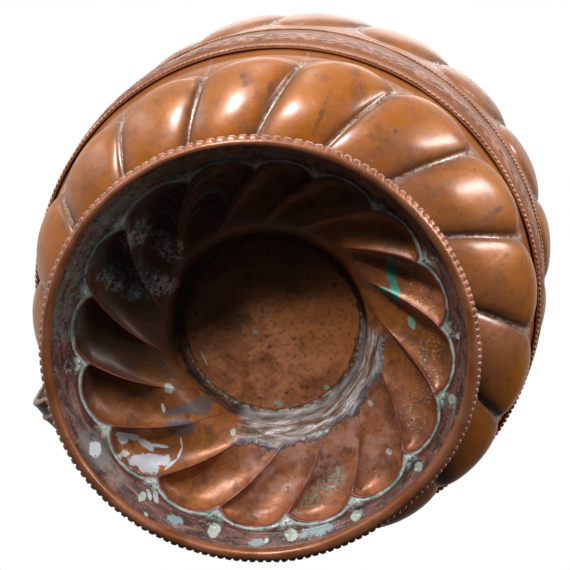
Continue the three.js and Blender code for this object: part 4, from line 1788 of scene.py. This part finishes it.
@dataclass
class Studio:
    """Floor, world, lamps and the camera at the photograph's angle, which is below the floor."""

    camera_place: tuple[float, float, float] = (368.77, -176.16, -1189.01)
    right: tuple[float, float, float] = (0.77249, 0.62332, 0.12138)
    up: tuple[float, float, float] = (0.58215, -0.77147, 0.25677)
    forward: tuple[float, float, float] = (-0.25369, 0.1277, 0.95882)
    lens: float = 176.4
    target_height: float = 0.09
    floor_half: float = 6.0
    floor_height: float = -0.0006
    floor_colour: tuple[float, float, float, float] = (0.8, 0.79, 0.78, 1)

    def seen(self, across: float, upwards: float, towards: float) -> tuple[float, float, float]:
        """Returns a direction given in the photograph: to its right, up it and towards the camera."""
        mixed = Vector(self.right) * across + Vector(self.up) * upwards - Vector(self.forward) * towards
        return tuple(mixed.normalized())

    def camera(self) -> None:
        """Sets the camera."""
        data = bpy.data.cameras.new("view")
        data.lens = self.lens
        data.sensor_width = 36.0
        data.clip_end = 20.0
        camera = bpy.data.objects.new("view", data)
        turned = Matrix((self.right, self.up, tuple(-v for v in self.forward))).transposed().to_4x4()
        camera.matrix_world = Matrix.Translation(Vector(self.camera_place) * MM) @ turned
        bpy.context.scene.collection.objects.link(camera)
        bpy.context.scene.camera = camera

    def floor(self) -> None:
        """Lays a pale floor that is seen from above and lets everything through from below."""
        bm = bmesh.new()
        bmesh.ops.create_grid(bm, x_segments=1, y_segments=1, size=self.floor_half)
        mesh = bpy.data.meshes.new("floor")
        bm.to_mesh(mesh)
        bm.free()
        floor = bpy.data.objects.new("floor", mesh)
        floor.location.z = self.floor_height
        bpy.context.scene.collection.objects.link(floor)
        material = bpy.data.materials.new("pale_floor")
        material.use_nodes = True
        nodes = Nodes(material.node_tree)
        plain = nodes.node("ShaderNodeBsdfDiffuse", {"Color": self.floor_colour})[0]
        clear = nodes.node("ShaderNodeBsdfTransparent", {})[0]
        camera_ray = nodes.node("ShaderNodeLightPath", {})["Is Camera Ray"]
        below = nodes.node("ShaderNodeNewGeometry", {})["Backfacing"]
        shown = nodes.math("SUBTRACT", camera_ray, below, clamped=True)
        mixed = nodes.node("ShaderNodeMixShader", {0: shown, 1: clear, 2: plain})[0]
        nodes.node("ShaderNodeOutputMaterial", {0: mixed})
        mesh.materials.append(material)

    def world(self) -> None:
        """Sets a white background, and a soft light that fails only on the photographer's dark side.

        Mirror rays see a lighter room than the rest does.
        """
        world = bpy.data.worlds.new("studio")
        bpy.context.scene.world = world
        world.use_nodes = True
        nodes = Nodes(world.node_tree)
        inputs = {0: nodes.node("ShaderNodeTexCoord", {})["Generated"], 1: self.seen(-0.25, 0.62, -0.74)}
        bright_side = nodes.node("ShaderNodeVectorMath", inputs, operation="DOT_PRODUCT")["Value"]
        plain = nodes.fade(bright_side, -0.15, 1.0, 0.02, 0.6)
        mirror = nodes.fade(bright_side, 0.0, 0.8, 0.03, 1.0)
        ray = nodes.node("ShaderNodeLightPath", {})
        reflected = nodes.math("ADD", ray["Is Glossy Ray"], ray["Is Transmission Ray"], clamped=True)
        room = nodes.node("ShaderNodeMix", {0: reflected, 2: plain, 3: mirror})[0]
        strength = nodes.math("MAXIMUM", ray["Is Camera Ray"], room)
        background = nodes.node("ShaderNodeBackground", {"Color": (1, 1, 1, 1), "Strength": strength})[0]
        nodes.node("ShaderNodeOutputWorld", {0: background})

    def build(self) -> None:
        """Sets up the whole studio."""
        target = Vector((AXIS_X * MM, 0, self.target_height))
        lamps = [
            Lamp("key", self.seen(-0.33, 0.69, 0.66), 2.2, (0.22, 0.22), 34.0),
            Lamp("key strip", self.seen(-0.3, 0.68, 0.7), 2.2, (0.26, 0.8), 6.0),
            Lamp("left strip", self.seen(-0.81, 0.58, 0.05), 1.6, (0.22, 1.2), 3.0),
            Lamp("top strip", self.seen(-0.1, 0.98, 0.05), 1.6, (0.22, 0.9), 2.5),
            Lamp("right strip", self.seen(0.83, 0.42, 0.3), 1.6, (0.22, 1.1), 20.0),
            Lamp("overhead", (0.2, -0.3, 1.0), 1.8, (1.2, 1.2), 9.0),
        ]
        for lamp in lamps:
            lamp.place(target, -Vector(self.forward))
        self.world()
        self.floor()
        self.camera()
        bpy.context.scene.view_settings.view_transform = "Standard"


def main() -> None:
    """Builds the jug and the studio."""
    logging.basicConfig(level=logging.INFO, format="%(name)s %(message)s")
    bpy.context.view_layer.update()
    inside = DullCopper().material()
    rim = RubbedCopper().material()
    lead = OldSolder().material()
    Foot(rim, lead).build()
    Body(inside, RubbedCopper("bead_copper", (206, 150, 120), (160, 98, 62)).material()).build()
    Neck(PolishedCopper("neck_copper").material(), inside, rim).build()
    Handle(HandledCopper().material(), rim).build()
    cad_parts["seam_solder_ring"].material_slots[0].material = lead
    Studio().build()


if __name__ == "__main__":
    main()
